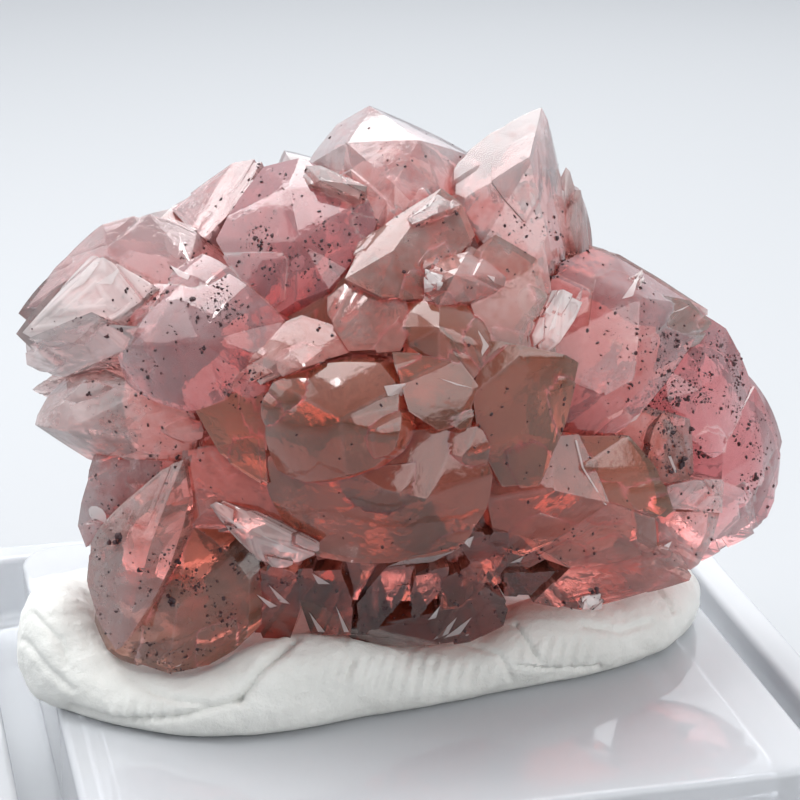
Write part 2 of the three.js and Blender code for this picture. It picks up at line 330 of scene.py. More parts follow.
# %% [markdown]
# ## The crystals
#
# Smithsonite grows as rhombohedra whose faces bulge: six rhombs, two tips, and six side corners that
# stand alternately above and below the middle. One unit form is split into small triangles, and every
# crystal is that form stretched between a root and a tip, turned about its length, and pushed part of
# the way towards a ball. A table of crystals says where each one grew. Modelling the growth form, rather
# than carving a lump, gives faces that meet in true crystal edges from every side.

# %% Inner crystals
# root, tip, half breadth, half thickness, roll, roundness, how far it runs back past its root, brownness
MOTHER = ((0.4, 0.2, 9.4), (0.4, 0.2, 15.6), 10.2, 5.4, 0, 0.9, 1.2, 0.2)
INNER_CRYSTALS = [
    ((-8.6, 0.3, 14.1), (-13.2, -0.6, 13.4), 2.8, 2.5, 62, 0.35, 0.9, 0.15),
    ((-9.5, -1.0, 13.4), (-13.1, -2.0, 13.1), 2.7, 2.2, 62, 0.3, 1.0, 0.25),
    ((-6.2, 0.3, 15.2), (-8.1, -1.2, 16.9), 2.4, 2.1, 25, 0.45, 0.9, 0.0),
    ((-4.9, 2.0, 14.9), (-5.5, 1.5, 18.4), 2.6, 1.8, 35, 0.35, 0.8, 0.0),
    ((-0.4, 2.0, 16.2), (-0.4, 1.6, 19.3), 3.2, 2.8, 56, 0.3, 0.7, 0.1),
    ((4.3, 1.4, 16.2), (5.0, 0.8, 18.9), 2.3, 2.3, 28, 0.32, 1.1, 0.35),
    ((9.2, 1.8, 11.8), (7.6, 1.0, 14.9), 2.4, 2.0, 35, 0.35, 0.8, 0.1),
    ((10.3, 2.5, 9.6), (13.0, 2.3, 10.9), 3.2, 2.8, 40, 0.65, 0.8, -0.8),
    ((10.9, 2.4, 7.4), (14.8, 2.8, 7.2), 3.6, 3.1, 25, 0.6, 0.8, -0.8),
    ((11.0, 1.8, 5.8), (13.8, 1.9, 4.6), 3.0, 2.7, 50, 0.55, 0.8, -0.5),
    ((-7.6, -1.2, 6.2), (-10.4, -2.0, 4.2), 3.0, 2.6, 62, 0.55, 1.0, 0.0),
    MOTHER,
]
print(len(INNER_CRYSTALS), "inner crystals")

# %% [markdown]
# The far side has no single crystal that matters by itself, so it is a rule: rings of crystals at set
# heights round one middle, each a little off its even place.

# %% Crystals of the far side
FAN_MIDDLE = np.array([0.4, 0.8, 10.6])
FAN_REACH = np.array([12.0, 8.2, 9.2])
FAN_ROOT_SHARE = 0.52
# elevation, count, first azimuth, half breadth
FAN_RINGS = [(-54, 5, 18, 3.5), (-24, 7, 8, 3.6), (6, 6, 16, 3.9), (30, 4, 46, 3.4), (52, 2, 62, 3.0)]
AZIMUTH_WOBBLE = 3
ELEVATION_WOBBLE = 6
REACH_WOBBLE = 0.05
FAN_FLATNESS = 0.9
FAN_BACK = 0.9
ROLL_STEP = 37
ROLL_REPEATS = 120
FAN_ROUNDNESS, ROUNDNESS_WOBBLE = 0.42, 0.12
FAN_BROWNNESS, BROWNNESS_WOBBLE = 0.15, 0.15


def fan_crystals():
    """Rows of the table for the far side. Sines of the count stand in for chance."""
    rows = []
    for ring_elevation, count, first, breadth in FAN_RINGS:
        for i in range(count):
            wobble = math.sin(5 * len(rows))
            azimuth = math.radians(first + (180 - 2 * first) * i / (count - 1) + AZIMUTH_WOBBLE * wobble)
            elevation = math.radians(ring_elevation + ELEVATION_WOBBLE * math.cos(7 * len(rows)))
            direction = np.array([
                math.cos(azimuth) * math.cos(elevation),
                math.sin(azimuth) * math.cos(elevation),
                math.sin(elevation),
            ])
            root = FAN_MIDDLE + FAN_REACH * direction * FAN_ROOT_SHARE
            tip = FAN_MIDDLE + FAN_REACH * direction * (1 + REACH_WOBBLE * wobble)
            roll = (ROLL_STEP * len(rows)) % ROLL_REPEATS
            roundness = FAN_ROUNDNESS + ROUNDNESS_WOBBLE * wobble
            brownness = FAN_BROWNNESS + BROWNNESS_WOBBLE * wobble
            rows.append((root, tip, breadth, FAN_FLATNESS * breadth, roll, roundness, FAN_BACK, brownness))
    return rows


far_side = fan_crystals()
print(len(far_side), "crystals in the far fan")

# %% [markdown]
# ### One crystal
#
# `unit_form` splits the twelve half-rhombs of the form into small triangles and joins them along their
# edges. `face_levels` measures how far a point lies towards each face. The gap between its two highest
# levels is the distance from the nearest crystal edge: growth lines on a real face run parallel to its
# edges, so this one number later draws them.

# %% Unit form
SIDE_CORNERS = 6
CORNER_RISE = 1 / 3


def split_triangles(triangles, steps):
    """Splits each triangle into steps x steps smaller ones and joins them all along their edges."""
    found, points, faces = {}, [], []

    def number(point):
        key = tuple(np.round(point, 5))
        if key not in found:
            found[key] = len(points)
            points.append(point)
        return found[key]

    for a, b, c in triangles:
        grid = {
            (u, v): number(a + (b - a) * u / steps + (c - a) * v / steps)
            for u in range(steps + 1) for v in range(steps + 1 - u)
        }
        for u, v in grid:
            if u + v < steps:
                faces.append((grid[u, v], grid[u + 1, v], grid[u, v + 1]))
            if u + v < steps - 1:
                faces.append((grid[u + 1, v], grid[u + 1, v + 1], grid[u, v + 1]))
    return np.array(points), faces


@cache
def unit_form(steps):
    """Points and triangles of the unit rhombohedron: two tips and six corners, in twelve half-rhombs."""
    tip, foot = np.array([0, 0, 1.0]), np.array([0, 0, -1.0])
    corners = [
        np.array([math.cos(turn), math.sin(turn), CORNER_RISE * (-1) ** i])
        for i, turn in enumerate(np.arange(SIDE_CORNERS) * math.tau / SIDE_CORNERS)
    ]
    halves = []
    for one, two in zip(corners, corners[1:] + corners[:1]):
        halves += [(tip, one, two), (foot, two, one)]
    return split_triangles(halves, steps)


def face_levels(points):
    """How far each point lies towards the six faces: 1 on a face, least first."""
    turns = np.radians([60, 180, 300, 0, 120, 240])
    slope = 1 + CORNER_RISE
    ends = np.repeat([1.0, -1.0], 3)
    normals = np.column_stack([slope * np.cos(turns), slope * np.sin(turns), ends])
    return np.sort(points @ normals.T, axis=1)


print("unit form, each edge split in four:", len(unit_form(4)[1]), "triangles")


# %% Place a crystal
def placed(row, points, grow=0.0):
    """Carries points of the unit form to where the row's crystal has them, in millimetres."""
    root, tip, breadth, thickness, roll, roundness, back, _ = row
    root = np.asarray(root, dtype=float)
    along = np.asarray(tip, dtype=float) - root
    length = np.linalg.norm(along)
    along /= length
    front = np.array([0, -1.0, 0])
    front -= along * (front @ along)
    front /= np.linalg.norm(front)
    across = np.cross(along, front)
    level = face_levels(points)[:, -1:]
    reach = np.linalg.norm(points, axis=1, keepdims=True)
    curved = points * (1 - roundness + roundness * level / reach)
    turn = math.radians(roll)
    x = curved[:, 0] * math.cos(turn) - curved[:, 1] * math.sin(turn)
    y = curved[:, 0] * math.sin(turn) + curved[:, 1] * math.cos(turn)
    z = curved[:, 2] * np.where(curved[:, 2] > 0, length + grow, (length + grow) * back)
    return (
        root
        + np.outer(x * (thickness + grow), front)
        + np.outer(y * (breadth + grow), across)
        + np.outer(z, along)
    )


def crystal_piece(row, steps, number, grow=0.0):
    """One crystal from its row of the table."""
    root, tip, breadth, thickness, *_, brown = row
    unit, faces = unit_form(steps)
    spread = (breadth + thickness + np.linalg.norm(np.subtract(tip, root))) / 3
    levels = face_levels(unit)
    edge = (levels[:, -1] - levels[:, -2]) * spread
    return tinted_piece(f"crystal_{number}", placed(row, unit, grow), faces, edge, brown, frost=0.0)

# %% [markdown]
# ### The crystals in front
#
# The crystals that face the viewer are the specimen's portrait, so each is drawn by its own corners: the
# column and row where a corner is seen through the camera, and how far away it lies (Y, in millimetres).
# The block behind the corners narrows towards the mother crystal, and its convex hull is the crystal.
# The listed corners give true outlines; the hull guarantees a closed solid that a Boolean can use.

# %% Corners of the front crystals
# name: (brownness, frost, depth of the block, roundness, corners); full frost on the glint pieces is a painted
# glint
FRONT_CRYSTALS = {
    # left fan, from the top down
    "fan_ridge": (-0.4, 0.1, 4.0, 0.10, [
        (21, 309, -1.6), (50, 275, -1.8), (60, 265, -1.8), (93, 235, -2.0), (103, 227, -2.0),
        (150, 213, -2.2), (175, 221, -2.6), (198, 232, -3.0), (190, 262, -3.9), (182, 293, -4.6),
        (153, 283, -4.0), (106, 256, -3.0)]),
    "fan_frosted": (0.2, 0.8, 3.0, 0.06, [
        (20, 333, -2.2), (35, 318, -2.2), (90, 258, -2.8), (103, 256, -3.4), (153, 285, -4.6),
        (140, 302, -4.8), (105, 325, -4.4), (60, 342, -3.2), (40, 344, -2.6)]),
    "fan_wedge": (0.20, 0.4, 2.0, 0.05, [
        (30, 338, -2.8), (90, 313, -4.6), (100, 318, -4.8), (75, 342, -3.9), (48, 347, -3.0)]),
    "fan_low": (0.25, 0.5, 3.0, 0.10, [
        (26, 343, -1.8), (28, 364, -1.8), (53, 376, -2.2), (65, 377, -2.6), (90, 363, -3.6),
        (126, 349, -4.8), (140, 325, -5.0), (95, 322, -4.4), (50, 340, -2.8)]),
    "fan_chip": (0.30, 0.4, 2.0, 0.05, [
        (35, 389, -1.0), (53, 374, -1.2), (66, 376, -1.6), (62, 392, -1.6), (45, 397, -1.2)]),
    "left_point": (0.30, 0.2, 4.0, 0.10, [
        (32, 425, -2.6), (35, 415, -2.4), (46, 396, -2.2), (63, 379, -2.2), (91, 363, -2.8),
        (113, 372, -3.8), (153, 391, -5.2), (192, 404, -6.0), (200, 430, -6.2), (195, 455, -6.0),
        (150, 468, -5.2), (110, 468, -4.2), (86, 460, -3.6), (83, 386, -3.6), (70, 432, -4.0)]),
    "left_body": (-0.6, 0.0, 4.0, 0.45, [
        (140, 300, -4.2), (182, 290, -4.8), (200, 262, -4.0), (240, 285, -5.4), (280, 318, -6.2),
        (262, 352, -6.8), (255, 385, -7.0), (222, 402, -6.8), (185, 405, -6.2), (150, 392, -5.4),
        (126, 380, -4.6), (116, 352, -4.4), (126, 325, -4.2), (195, 340, -6.9)]),
    # top
    "far_ridge": (-0.4, 0.4, 3.0, 0.08, [
        (170, 209, -0.6), (187, 198, -0.6), (231, 166, -0.4), (246, 165, -0.4), (262, 160, -0.6),
        (240, 200, -2.0), (225, 218, -2.6), (205, 236, -3.0), (190, 230, -2.4)]),
    "top_left": (-0.85, 0.0, 5.0, 0.22, [
        (225, 214, -3.0), (260, 160, -1.2), (298, 152, -1.2), (307, 156, -1.4), (332, 190, -3.2),
        (369, 199, -3.4), (371, 223, -4.0), (366, 243, -4.6), (346, 269, -5.4), (329, 289, -5.8),
        (294, 303, -6.0), (275, 316, -6.0), (248, 295, -5.4), (211, 239, -3.6), (290, 190, -3.4),
        (300, 240, -5.2)]),
    "top_middle": (-0.15, 0.0, 6.0, 0.08, [
        (305, 165, -1.0), (313, 151, -0.6), (336, 123, 0.0), (369, 104, 0.6), (400, 119, 0.6),
        (440, 137, 0.4), (481, 158, 0.0), (470, 180, -1.6), (450, 207, -3.2), (425, 217, -3.8),
        (394, 224, -4.0), (367, 241, -4.2), (346, 142, -2.2), (419, 140, -2.2), (395, 185, -3.6)]),
    "top_tan_step": (0.50, 0.1, 2.0, 0.06, [
        (305, 165, -2.2), (320, 165, -2.6), (336, 175, -3.2), (364, 186, -3.8), (359, 199, -4.0),
        (328, 194, -3.6), (305, 188, -2.8), (320, 180, -3.8)]),
    "top_right": (-0.05, 0.12, 5.0, 0.08, [
        (456, 169, -2.2), (469, 150, -1.6), (490, 133, -1.0), (526, 113, -0.2), (542, 107, 0.0),
        (552, 128, 0.2), (560, 166, 0.4), (567, 213, 0.0), (578, 256, -0.6), (560, 290, -3.2),
        (520, 285, -4.6), (480, 240, -4.2), (455, 205, -3.4), (529, 160, -2.4), (548, 235, -3.4)]),
    "splinter_one": (0.35, 0.3, 1.5, 0.05, [
        (566, 166, 0.2), (570, 170, 0.2), (580, 205, 0.0), (586, 250, -0.4), (572, 262, -1.0),
        (563, 215, -0.8)]),
    "splinter_two": (0.35, 0.3, 1.5, 0.05, [
        (574, 190, -0.2), (581, 189, -0.2), (586, 215, -0.2), (590, 250, -0.4), (582, 262, -1.2),
        (572, 225, -1.0)]),
    # middle, above the boss
    "middle_block": (0.60, 0.0, 4.0, 0.10, [
        (367, 243, -4.8), (395, 222, -4.4), (412, 217, -4.4), (439, 192, -3.8), (457, 205, -4.0),
        (470, 235, -4.6), (430, 262, -5.6), (425, 290, -6.2), (385, 292, -6.4), (350, 275, -6.0),
        (395, 250, -5.6)]),
    "white_ledge": (0.30, 0.25, 1.0, 0.04, [
        (411, 218, -4.8), (413, 210, -4.6), (438, 194, -4.2), (457, 205, -4.4), (438, 213, -4.9),
        (415, 222, -5.0)]),
    "middle_right": (0.50, 0.1, 3.0, 0.12, [
        (427, 280, -6.2), (432, 265, -5.8), (467, 254, -5.2), (497, 278, -5.4), (494, 290, -5.8),
        (470, 299, -6.4), (442, 301, -6.7), (429, 290, -6.5), (455, 275, -6.6)]),
    # a painted glint: a small facet painted white by full frost
    "painted_glint_facet": (0.10, 1.0, 1.0, 0.03, [
        (426, 270, -6.6), (443, 275, -6.9), (440, 284, -7.0), (427, 286, -6.8)]),
    "salmon_column": (0.60, 0.0, 3.0, 0.08, [
        (497, 240, -4.4), (535, 262, -4.4), (545, 300, -5.0), (536, 335, -5.6), (525, 358, -6.0),
        (490, 350, -6.4), (475, 305, -6.2), (470, 262, -5.2)]),
    "striped_facet": (0.10, 0.8, 3.0, 0.04, [
        (540, 360, -6.0), (536, 333, -5.8), (553, 293, -5.0), (563, 292, -5.0), (583, 302, -4.8),
        (575, 320, -5.2), (560, 342, -5.8)]),
    "lens": (0.95, 0.0, 3.0, 0.55, [
        (405, 298, -6.2), (440, 290, -6.2), (467, 301, -6.0), (482, 325, -6.4), (489, 347, -6.8),
        (478, 365, -7.2), (465, 377, -7.4), (440, 362, -7.6), (410, 345, -7.4), (392, 325, -7.0),
        (440, 325, -7.8)]),
    "glassy_left": (0.50, 0.1, 3.0, 0.15, [
        (250, 352, -6.6), (262, 335, -6.2), (300, 318, -6.2), (340, 330, -6.8), (345, 352, -7.4),
        (300, 365, -7.8), (262, 382, -7.4), (252, 372, -7.0)]),
    "glassy_right": (0.55, 0.1, 3.0, 0.12, [
        (335, 300, -6.0), (360, 282, -5.8), (400, 292, -6.2), (408, 318, -6.8), (395, 345, -7.4),
        (350, 348, -7.4), (335, 325, -6.8)]),
    # right
    "right_face": (-0.5, 0.0, 4.0, 0.08, [
        (553, 293, -4.0), (560, 262, -3.0), (593, 246, -1.6), (619, 256, -1.6), (656, 280, -1.4),
        (700, 306, -1.0), (709, 313, -0.8), (710, 323, -1.0), (695, 341, -1.8), (666, 364, -3.0),
        (641, 412, -4.2), (616, 431, -4.8), (586, 438, -5.2), (562, 432, -5.4), (560, 380, -5.4),
        (545, 350, -5.2), (634, 379, -4.6), (603, 397, -5.4), (640, 300, -3.4)]),
    "right_sliver": (0.20, 0.4, 1.0, 0.04, [
        (591, 246, -1.2), (619, 254, -1.2), (709, 310, -0.6), (709, 316, -0.6), (656, 286, -1.0),
        (600, 255, -1.4)]),
    "right_tan_corner": (0.70, 0.0, 2.0, 0.05, [
        (664, 295, -2.2), (690, 300, -1.6), (711, 323, -1.0), (697, 341, -1.6), (676, 350, -2.4),
        (668, 325, -2.8)]),
    # a painted glint: a small shard painted white by full frost
    "painted_glint_shard": (0.10, 1.0, 0.8, 0.03, [
        (621, 303, -3.0), (628, 285, -2.8), (640, 274, -2.6), (641, 282, -2.8), (632, 300, -3.1)]),
    "outer_high": (-0.9, 0.0, 4.0, 0.18, [
        (697, 330, -0.4), (709, 311, 0.0), (730, 325, 0.6), (742, 349, 0.8), (743, 369, 0.9),
        (757, 383, 1.2), (763, 412, 1.2), (740, 440, -0.4), (715, 455, -1.6), (690, 440, -2.4),
        (668, 400, -3.0), (666, 366, -2.6), (700, 390, -2.6)]),
    "outer_right": (-0.9, 0.0, 4.0, 0.18, [
        (757, 383, 1.2), (763, 412, 1.2), (774, 421, 1.6), (781, 440, 1.8), (779, 467, 1.8),
        (776, 501, 1.4), (765, 528, 1.0), (748, 538, 0.2), (740, 500, -0.8), (722, 480, -1.6),
        (725, 440, -1.0), (745, 405, 0.2), (752, 460, -0.4)]),
    "outer_low": (-0.5, 0.2, 4.0, 0.12, [
        (722, 480, -1.8), (745, 490, -0.8), (765, 528, 0.8), (748, 538, 0.2), (727, 541, -0.4),
        (714, 541, -1.0), (704, 559, -1.6), (690, 540, -2.6), (700, 500, -2.6)]),
    "dark_patch": (0.50, 0.0, 3.0, 0.05, [
        (664, 415, -3.4), (681, 440, -3.2), (692, 480, -3.4), (661, 485, -4.4), (648, 457, -4.4),
        (655, 430, -4.0)]),
    "pale_block": (0.05, 0.5, 3.0, 0.04, [
        (667, 486, -4.0), (694, 480, -3.4), (721, 481, -2.2), (721, 512, -2.4), (667, 509, -4.2)]),
    "right_foot": (0.10, 0.1, 3.0, 0.08, [
        (658, 511, -4.6), (721, 513, -2.4), (714, 540, -2.4), (704, 559, -2.6), (691, 568, -3.2),
        (659, 548, -4.6)]),
    "right_inner": (1.0, 0.0, 4.0, 0.08, [
        (575, 440, -5.6), (629, 440, -4.8), (654, 470, -4.6), (667, 506, -4.6), (654, 517, -5.0),
        (604, 502, -6.0), (585, 470, -6.2)]),
    "right_of_boss": (0.60, 0.0, 4.0, 0.10, [
        (500, 450, -6.6), (530, 475, -6.6), (553, 442, -6.2), (575, 440, -5.8), (604, 502, -6.2),
        (566, 528, -6.4), (525, 547, -6.6), (500, 540, -6.8), (493, 500, -7.0), (550, 490, -7.0)]),
    "rayed_block": (0.55, 0.1, 4.0, 0.06, [
        (566, 528, -6.4), (604, 503, -6.2), (656, 518, -5.2), (659, 547, -5.0), (616, 560, -5.4),
        (571, 567, -5.8), (525, 550, -6.4)]),
    "right_bottom": (0.45, 0.1, 4.0, 0.10, [
        (659, 548, -4.9), (682, 556, -4.0), (691, 568, -3.8), (686, 581, -3.9), (649, 590, -4.4),
        (606, 594, -5.0), (600, 607, -5.2), (580, 612, -5.4), (535, 603, -5.6), (571, 567, -5.8)]),
    # a painted glint: a small facet painted white by full frost
    "painted_glint_cube": (0.20, 1.0, 1.0, 0.03, [
        (585, 598, -5.5), (601, 594, -5.4), (599, 607, -5.5), (583, 610, -5.7)]),
    # the brown boss and its neighbours
    "brown_right": (1.00, 0.0, 4.0, 0.10, [
        (488, 349, -6.8), (521, 350, -6.8), (523, 358, -6.9), (563, 359, -6.4), (575, 366, -6.2),
        (562, 415, -6.6), (553, 442, -6.8), (538, 476, -7.0), (505, 480, -7.2), (484, 440, -7.4),
        (478, 395, -7.4)]),
    "boss_dome": (0.9, 0.0, 5.0, 0.65, [
        (262, 401, -7.6), (272, 380, -7.6), (298, 363, -7.6), (340, 358, -7.8), (384, 355, -8.0),
        (406, 383, -8.6), (404, 405, -8.9), (394, 438, -9.1), (386, 459, -9.1), (374, 469, -9.1),
        (346, 477, -9.1), (300, 490, -8.6), (264, 480, -8.0), (256, 440, -7.8), (340, 420, -9.4)]),
    "boss_corner": (0.90, 0.0, 3.0, 0.10, [
        (399, 358, -7.8), (456, 361, -7.6), (475, 386, -7.8), (469, 402, -8.0), (464, 421, -8.2),
        (439, 427, -8.5), (412, 410, -8.6), (404, 385, -8.4)]),
    "boss_body": (0.85, 0.0, 5.0, 0.35, [
        (257, 455, -7.6), (300, 440, -8.4), (440, 424, -8.2), (466, 420, -8.0), (481, 433, -7.8),
        (482, 447, -7.8), (494, 476, -7.8), (485, 509, -7.8), (472, 529, -7.8), (457, 549, -7.7),
        (427, 558, -7.8), (389, 567, -7.8), (350, 568, -7.7), (315, 563, -7.4), (285, 530, -7.4),
        (262, 492, -7.4), (385, 490, -9.0), (430, 500, -9.0)]),
    "tan_triangle": (1.00, 0.0, 3.0, 0.06, [
        (196, 408, -6.4), (230, 398, -6.9), (258, 392, -7.1), (264, 480, -7.5), (245, 468, -7.3),
        (222, 452, -7.0)]),
    # lower left
    "left_inner": (0.25, 0.0, 4.0, 0.08, [
        (186, 455, -6.2), (222, 452, -6.8), (262, 482, -7.3), (285, 530, -7.2), (262, 520, -7.2),
        (211, 506, -6.8), (190, 525, -6.4), (184, 490, -6.2)]),
    "feather_shard": (0.10, 0.7, 1.5, 0.10, [
        (211, 506, -7.0), (222, 500, -7.0), (252, 514, -7.5), (317, 547, -8.0), (316, 556, -8.0),
        (300, 563, -7.8), (277, 565, -7.6), (258, 561, -7.4), (229, 530, -7.2), (250, 535, -7.9)]),
    "leaf_blade": (0.4, 0.15, 2.5, 0.12, [
        (184, 457, -6.4), (190, 496, -6.6), (184, 523, -6.8), (169, 569, -6.8), (150, 606, -6.8),
        (120, 652, -6.8), (113, 656, -6.7), (96, 626, -6.2), (85, 587, -5.8), (87, 556, -5.6),
        (103, 531, -5.7), (140, 497, -6.0), (172, 463, -6.2), (150, 545, -7.2)]),
    "left_low": (-0.2, 0.0, 3.5, 0.10, [
        (80, 503, -4.4), (95, 458, -4.2), (140, 474, -5.2), (172, 463, -5.8), (150, 500, -5.9),
        (103, 533, -5.4), (83, 550, -4.6), (75, 527, -4.2)]),
    "putty_left": (0.85, 0.0, 5.0, 0.30, [
        (80, 596, -4.2), (90, 560, -4.8), (130, 540, -5.4), (189, 523, -6.2), (211, 538, -6.4),
        (232, 556, -6.5), (249, 579, -6.5), (248, 641, -6.2), (219, 658, -6.3), (194, 680, -6.5),
        (163, 688, -6.5), (128, 675, -6.0), (103, 654, -5.2), (175, 610, -7.0)]),
    # foot of the front
    "foot_one": (0.20, 0.0, 3.0, 0.08, [
        (250, 580, -6.0), (275, 566, -6.4), (300, 575, -6.4), (300, 610, -6.0), (290, 640, -5.6),
        (262, 640, -5.6), (250, 612, -5.8)]),
    "foot_two": (0.20, 0.0, 3.0, 0.08, [
        (300, 572, -6.6), (340, 570, -6.8), (352, 600, -6.4), (348, 632, -5.8), (310, 635, -5.6),
        (298, 600, -6.2)]),
    "foot_blade": (0.10, 0.1, 2.5, 0.08, [
        (386, 570, -7.0), (416, 566, -7.0), (400, 600, -6.8), (378, 629, -6.2), (360, 634, -6.0),
        (356, 605, -6.4)]),
    "foot_three": (0.25, 0.1, 2.5, 0.06, [
        (416, 576, -6.9), (446, 570, -6.8), (444, 588, -6.6), (414, 620, -6.1), (410, 596, -6.5)]),
    "foot_four": (0.35, 0.0, 2.5, 0.06, [
        (446, 580, -6.7), (474, 566, -6.7), (480, 586, -6.4), (463, 607, -6.2), (438, 612, -6.2)]),
    "foot_five": (0.30, 0.1, 3.0, 0.06, [
        (477, 593, -6.3), (486, 587, -6.2), (507, 601, -5.8), (500, 625, -5.4), (470, 640, -5.3),
        (440, 645, -5.4), (430, 618, -5.9)]),
    "foot_low": (0.25, 0.0, 3.0, 0.06, [
        (345, 630, -5.8), (380, 630, -6.0), (410, 618, -6.1), (440, 612, -6.0), (440, 645, -5.2),
        (400, 645, -5.2), (360, 640, -5.3)]),
    "foot_block": (0.30, 0.0, 3.0, 0.06, [
        (461, 548, -7.2), (470, 534, -7.2), (506, 536, -6.9), (509, 565, -6.6), (499, 578, -6.5),
        (481, 579, -6.7), (472, 563, -6.9)]),
    "foot_right": (0.25, 0.0, 3.0, 0.06, [
        (507, 575, -6.3), (554, 572, -6.0), (532, 596, -5.8), (507, 595, -6.0)]),
    # broad crystals just behind, which close the gaps between the others
    "middle_fill": (0.95, 0.0, 4.0, 0.15, [
        (255, 330, -5.6), (300, 300, -5.5), (350, 270, -5.4), (430, 240, -5.0), (500, 262, -5.0),
        (550, 300, -5.0), (560, 370, -6.0), (500, 420, -6.7), (400, 400, -7.0), (300, 400, -7.0),
        (250, 380, -6.5)]),
    "low_fill": (0.55, 0.0, 4.0, 0.15, [
        (185, 450, -5.6), (262, 400, -6.4), (500, 450, -6.7), (560, 560, -6.2), (480, 600, -5.9),
        (400, 605, -6.1), (280, 600, -6.0), (200, 560, -5.9)]),
    "left_fill": (0.10, 0.0, 4.0, 0.15, [
        (95, 400, -3.4), (150, 380, -4.3), (230, 380, -5.8), (262, 440, -6.3), (250, 500, -6.1),
        (180, 520, -5.4), (100, 480, -4.0)]),
    "top_fill": (0.10, 0.0, 4.0, 0.15, [
        (270, 290, -4.9), (300, 230, -3.7), (380, 210, -3.4), (460, 190, -3.2), (550, 240, -3.6),
        (560, 300, -4.4), (450, 300, -5.2), (350, 300, -5.5)]),
    "right_fill": (0.20, 0.0, 4.0, 0.15, [
        (550, 400, -5.4), (620, 400, -4.5), (690, 420, -2.7), (700, 520, -2.7), (650, 560, -4.3),
        (560, 560, -5.7)]),
}
print(len(FRONT_CRYSTALS), "front crystals")


# %% A crystal from its corners
CORNER_SPLIT = 0.45
BACK_SHARE = 0.55
TERRACES = 3
TERRACE_SCALE = (0.3, 0.75)
TERRACE_LIFT = (0.06, 0.2)
TERRACE_SEED = 500
FEWEST_SPLITS, MOST_SPLITS = 2, 16
WIDEST_FACE = 1.2
SAME_FACE_DEGREES = 15
MOTHER_MIDDLE = np.array([0.4, 0.8, 9.6])
# those in the thick of the cluster reach a little into each other
CROWDED = {
    "middle_block", "middle_right", "salmon_column", "lens", "glassy_left", "glassy_right", "boss_corner",
    "brown_right", "tan_triangle", "right_of_boss", "right_inner", "left_inner", "left_body",
}
CROWDED_SPREAD = 1.12


def seen_point(column, row, depth_y):
    """The point, in the specimen's frame, that is seen at a column and row and lies at depth_y."""
    ray = view_ray(column, row)
    share = (depth_y - CAMERA_PLACE.y) / ray.y
    return np.array(CAMERA_PLACE + ray * share)


def hull_triangles(points):
    """The convex hull of some points, as triangles that face outwards."""
    shell = bmesh.new()
    for point in points:
        shell.verts.new(point)
    bmesh.ops.convex_hull(shell, input=shell.verts)
    bmesh.ops.triangulate(shell, faces=shell.faces)
    middle = np.mean(points, axis=0)
    triangles = []
    for face in shell.faces:
        a, b, c = (np.array(vertex.co) for vertex in face.verts)
        if np.cross(b - a, c - a) @ (a - middle) < 0:
            b, c = c, b
        triangles.append((a, b, c))
    shell.free()
    return triangles


def cornered_crystals(name, number, grow=0.0):
    """A front crystal with its terraces: smaller copies of it that stand proud near its corners."""
    brown, frost, deep, roundness, corners = FRONT_CRYSTALS[name]
    front = np.array([seen_point(*corner) for corner in corners])
    middle = front.mean(axis=0)
    if name in CROWDED:
        front = middle + (front - middle) * CROWDED_SPREAD
    inward = MOTHER_MIDDLE - middle
    inward /= np.linalg.norm(inward)
    back = middle + (front - middle) * BACK_SHARE + inward * deep
    triangles = hull_triangles(np.concatenate([front, back]))
    longest = max(np.linalg.norm(a - b) for a, b, _ in triangles)
    draw = np.random.default_rng(TERRACE_SEED + number)
    pieces = []
    for step in range(TERRACES + 1):
        scale = 1.0 if step == 0 else draw.uniform(*TERRACE_SCALE)
        corner = front[draw.integers(len(front))]
        outward = (corner - middle) / np.linalg.norm(corner - middle)
        lift = 0.0 if step == 0 else draw.uniform(*TERRACE_LIFT)
        splits = int(np.clip(round(longest * scale / CORNER_SPLIT), FEWEST_SPLITS, MOST_SPLITS))
        points, faces = split_triangles(triangles, splits)
        edge = edge_distance(points, triangles) * scale
        points = rounded(points, roundness)
        points = corner + (points - corner) * scale + outward * lift
        away = points - points.mean(axis=0)
        points += grow * away / np.abs(away).max()
        pieces.append(tinted_piece(name, points, faces, edge, brown, frost))
    return pieces


def rounded(points, roundness):
    """Pushes the points of a solid part of the way towards a ball."""
    centre = points.mean(axis=0)
    half = np.abs(points - centre).max(axis=0)
    place = (points - centre) / half
    reach = np.linalg.norm(place, axis=1, keepdims=True)
    return centre + place * half * (1 - roundness + roundness * np.median(reach) / reach)


def tinted_piece(name, points, faces, edge, brown, frost):
    """A crystal that carries its stain and its frost on every point, and the distance to its edges."""
    brown, frost = (np.full(len(points), value) for value in (brown, frost))
    return new_piece(name, points, faces, edge=edge, brown=brown, frost=frost)


def edge_distance(points, triangles):
    """How far each point of a hull is from the nearest edge between two of its planes."""
    normals = np.array([np.cross(b - a, c - a) for a, b, c in triangles])
    normals /= np.linalg.norm(normals, axis=1, keepdims=True)
    offsets = np.einsum("ij,ij->i", normals, np.array([a for a, _, _ in triangles]))
    depths = offsets - points @ normals.T
    own_plane = np.argmin(depths, axis=1)
    alike = normals[own_plane] @ normals.T > math.cos(math.radians(SAME_FACE_DEGREES))
    return np.where(alike, WIDEST_FACE, depths).min(axis=1)

# %% [markdown]
# ### Growing them together
#
# Crystals that grew into each other are one solid, so all of them are joined with a Boolean union. The
# Manifold solver takes a whole collection in seconds and keeps each crystal's own numbers on its points,
# which the material needs for their colours and edges.

# %% Union of all crystals
FINE = 0.4
FEWEST_STEPS, MOST_STEPS = 4, 14
MOTHER_STEPS = 10


def steps_for(row):
    """How finely to split a crystal, so that its triangles come out near one size."""
    root, tip, breadth, thickness, *_ = row
    length = np.linalg.norm(np.subtract(tip, root))
    return int(np.clip(round(max(breadth, thickness, length) / FINE), FEWEST_STEPS, MOST_STEPS))


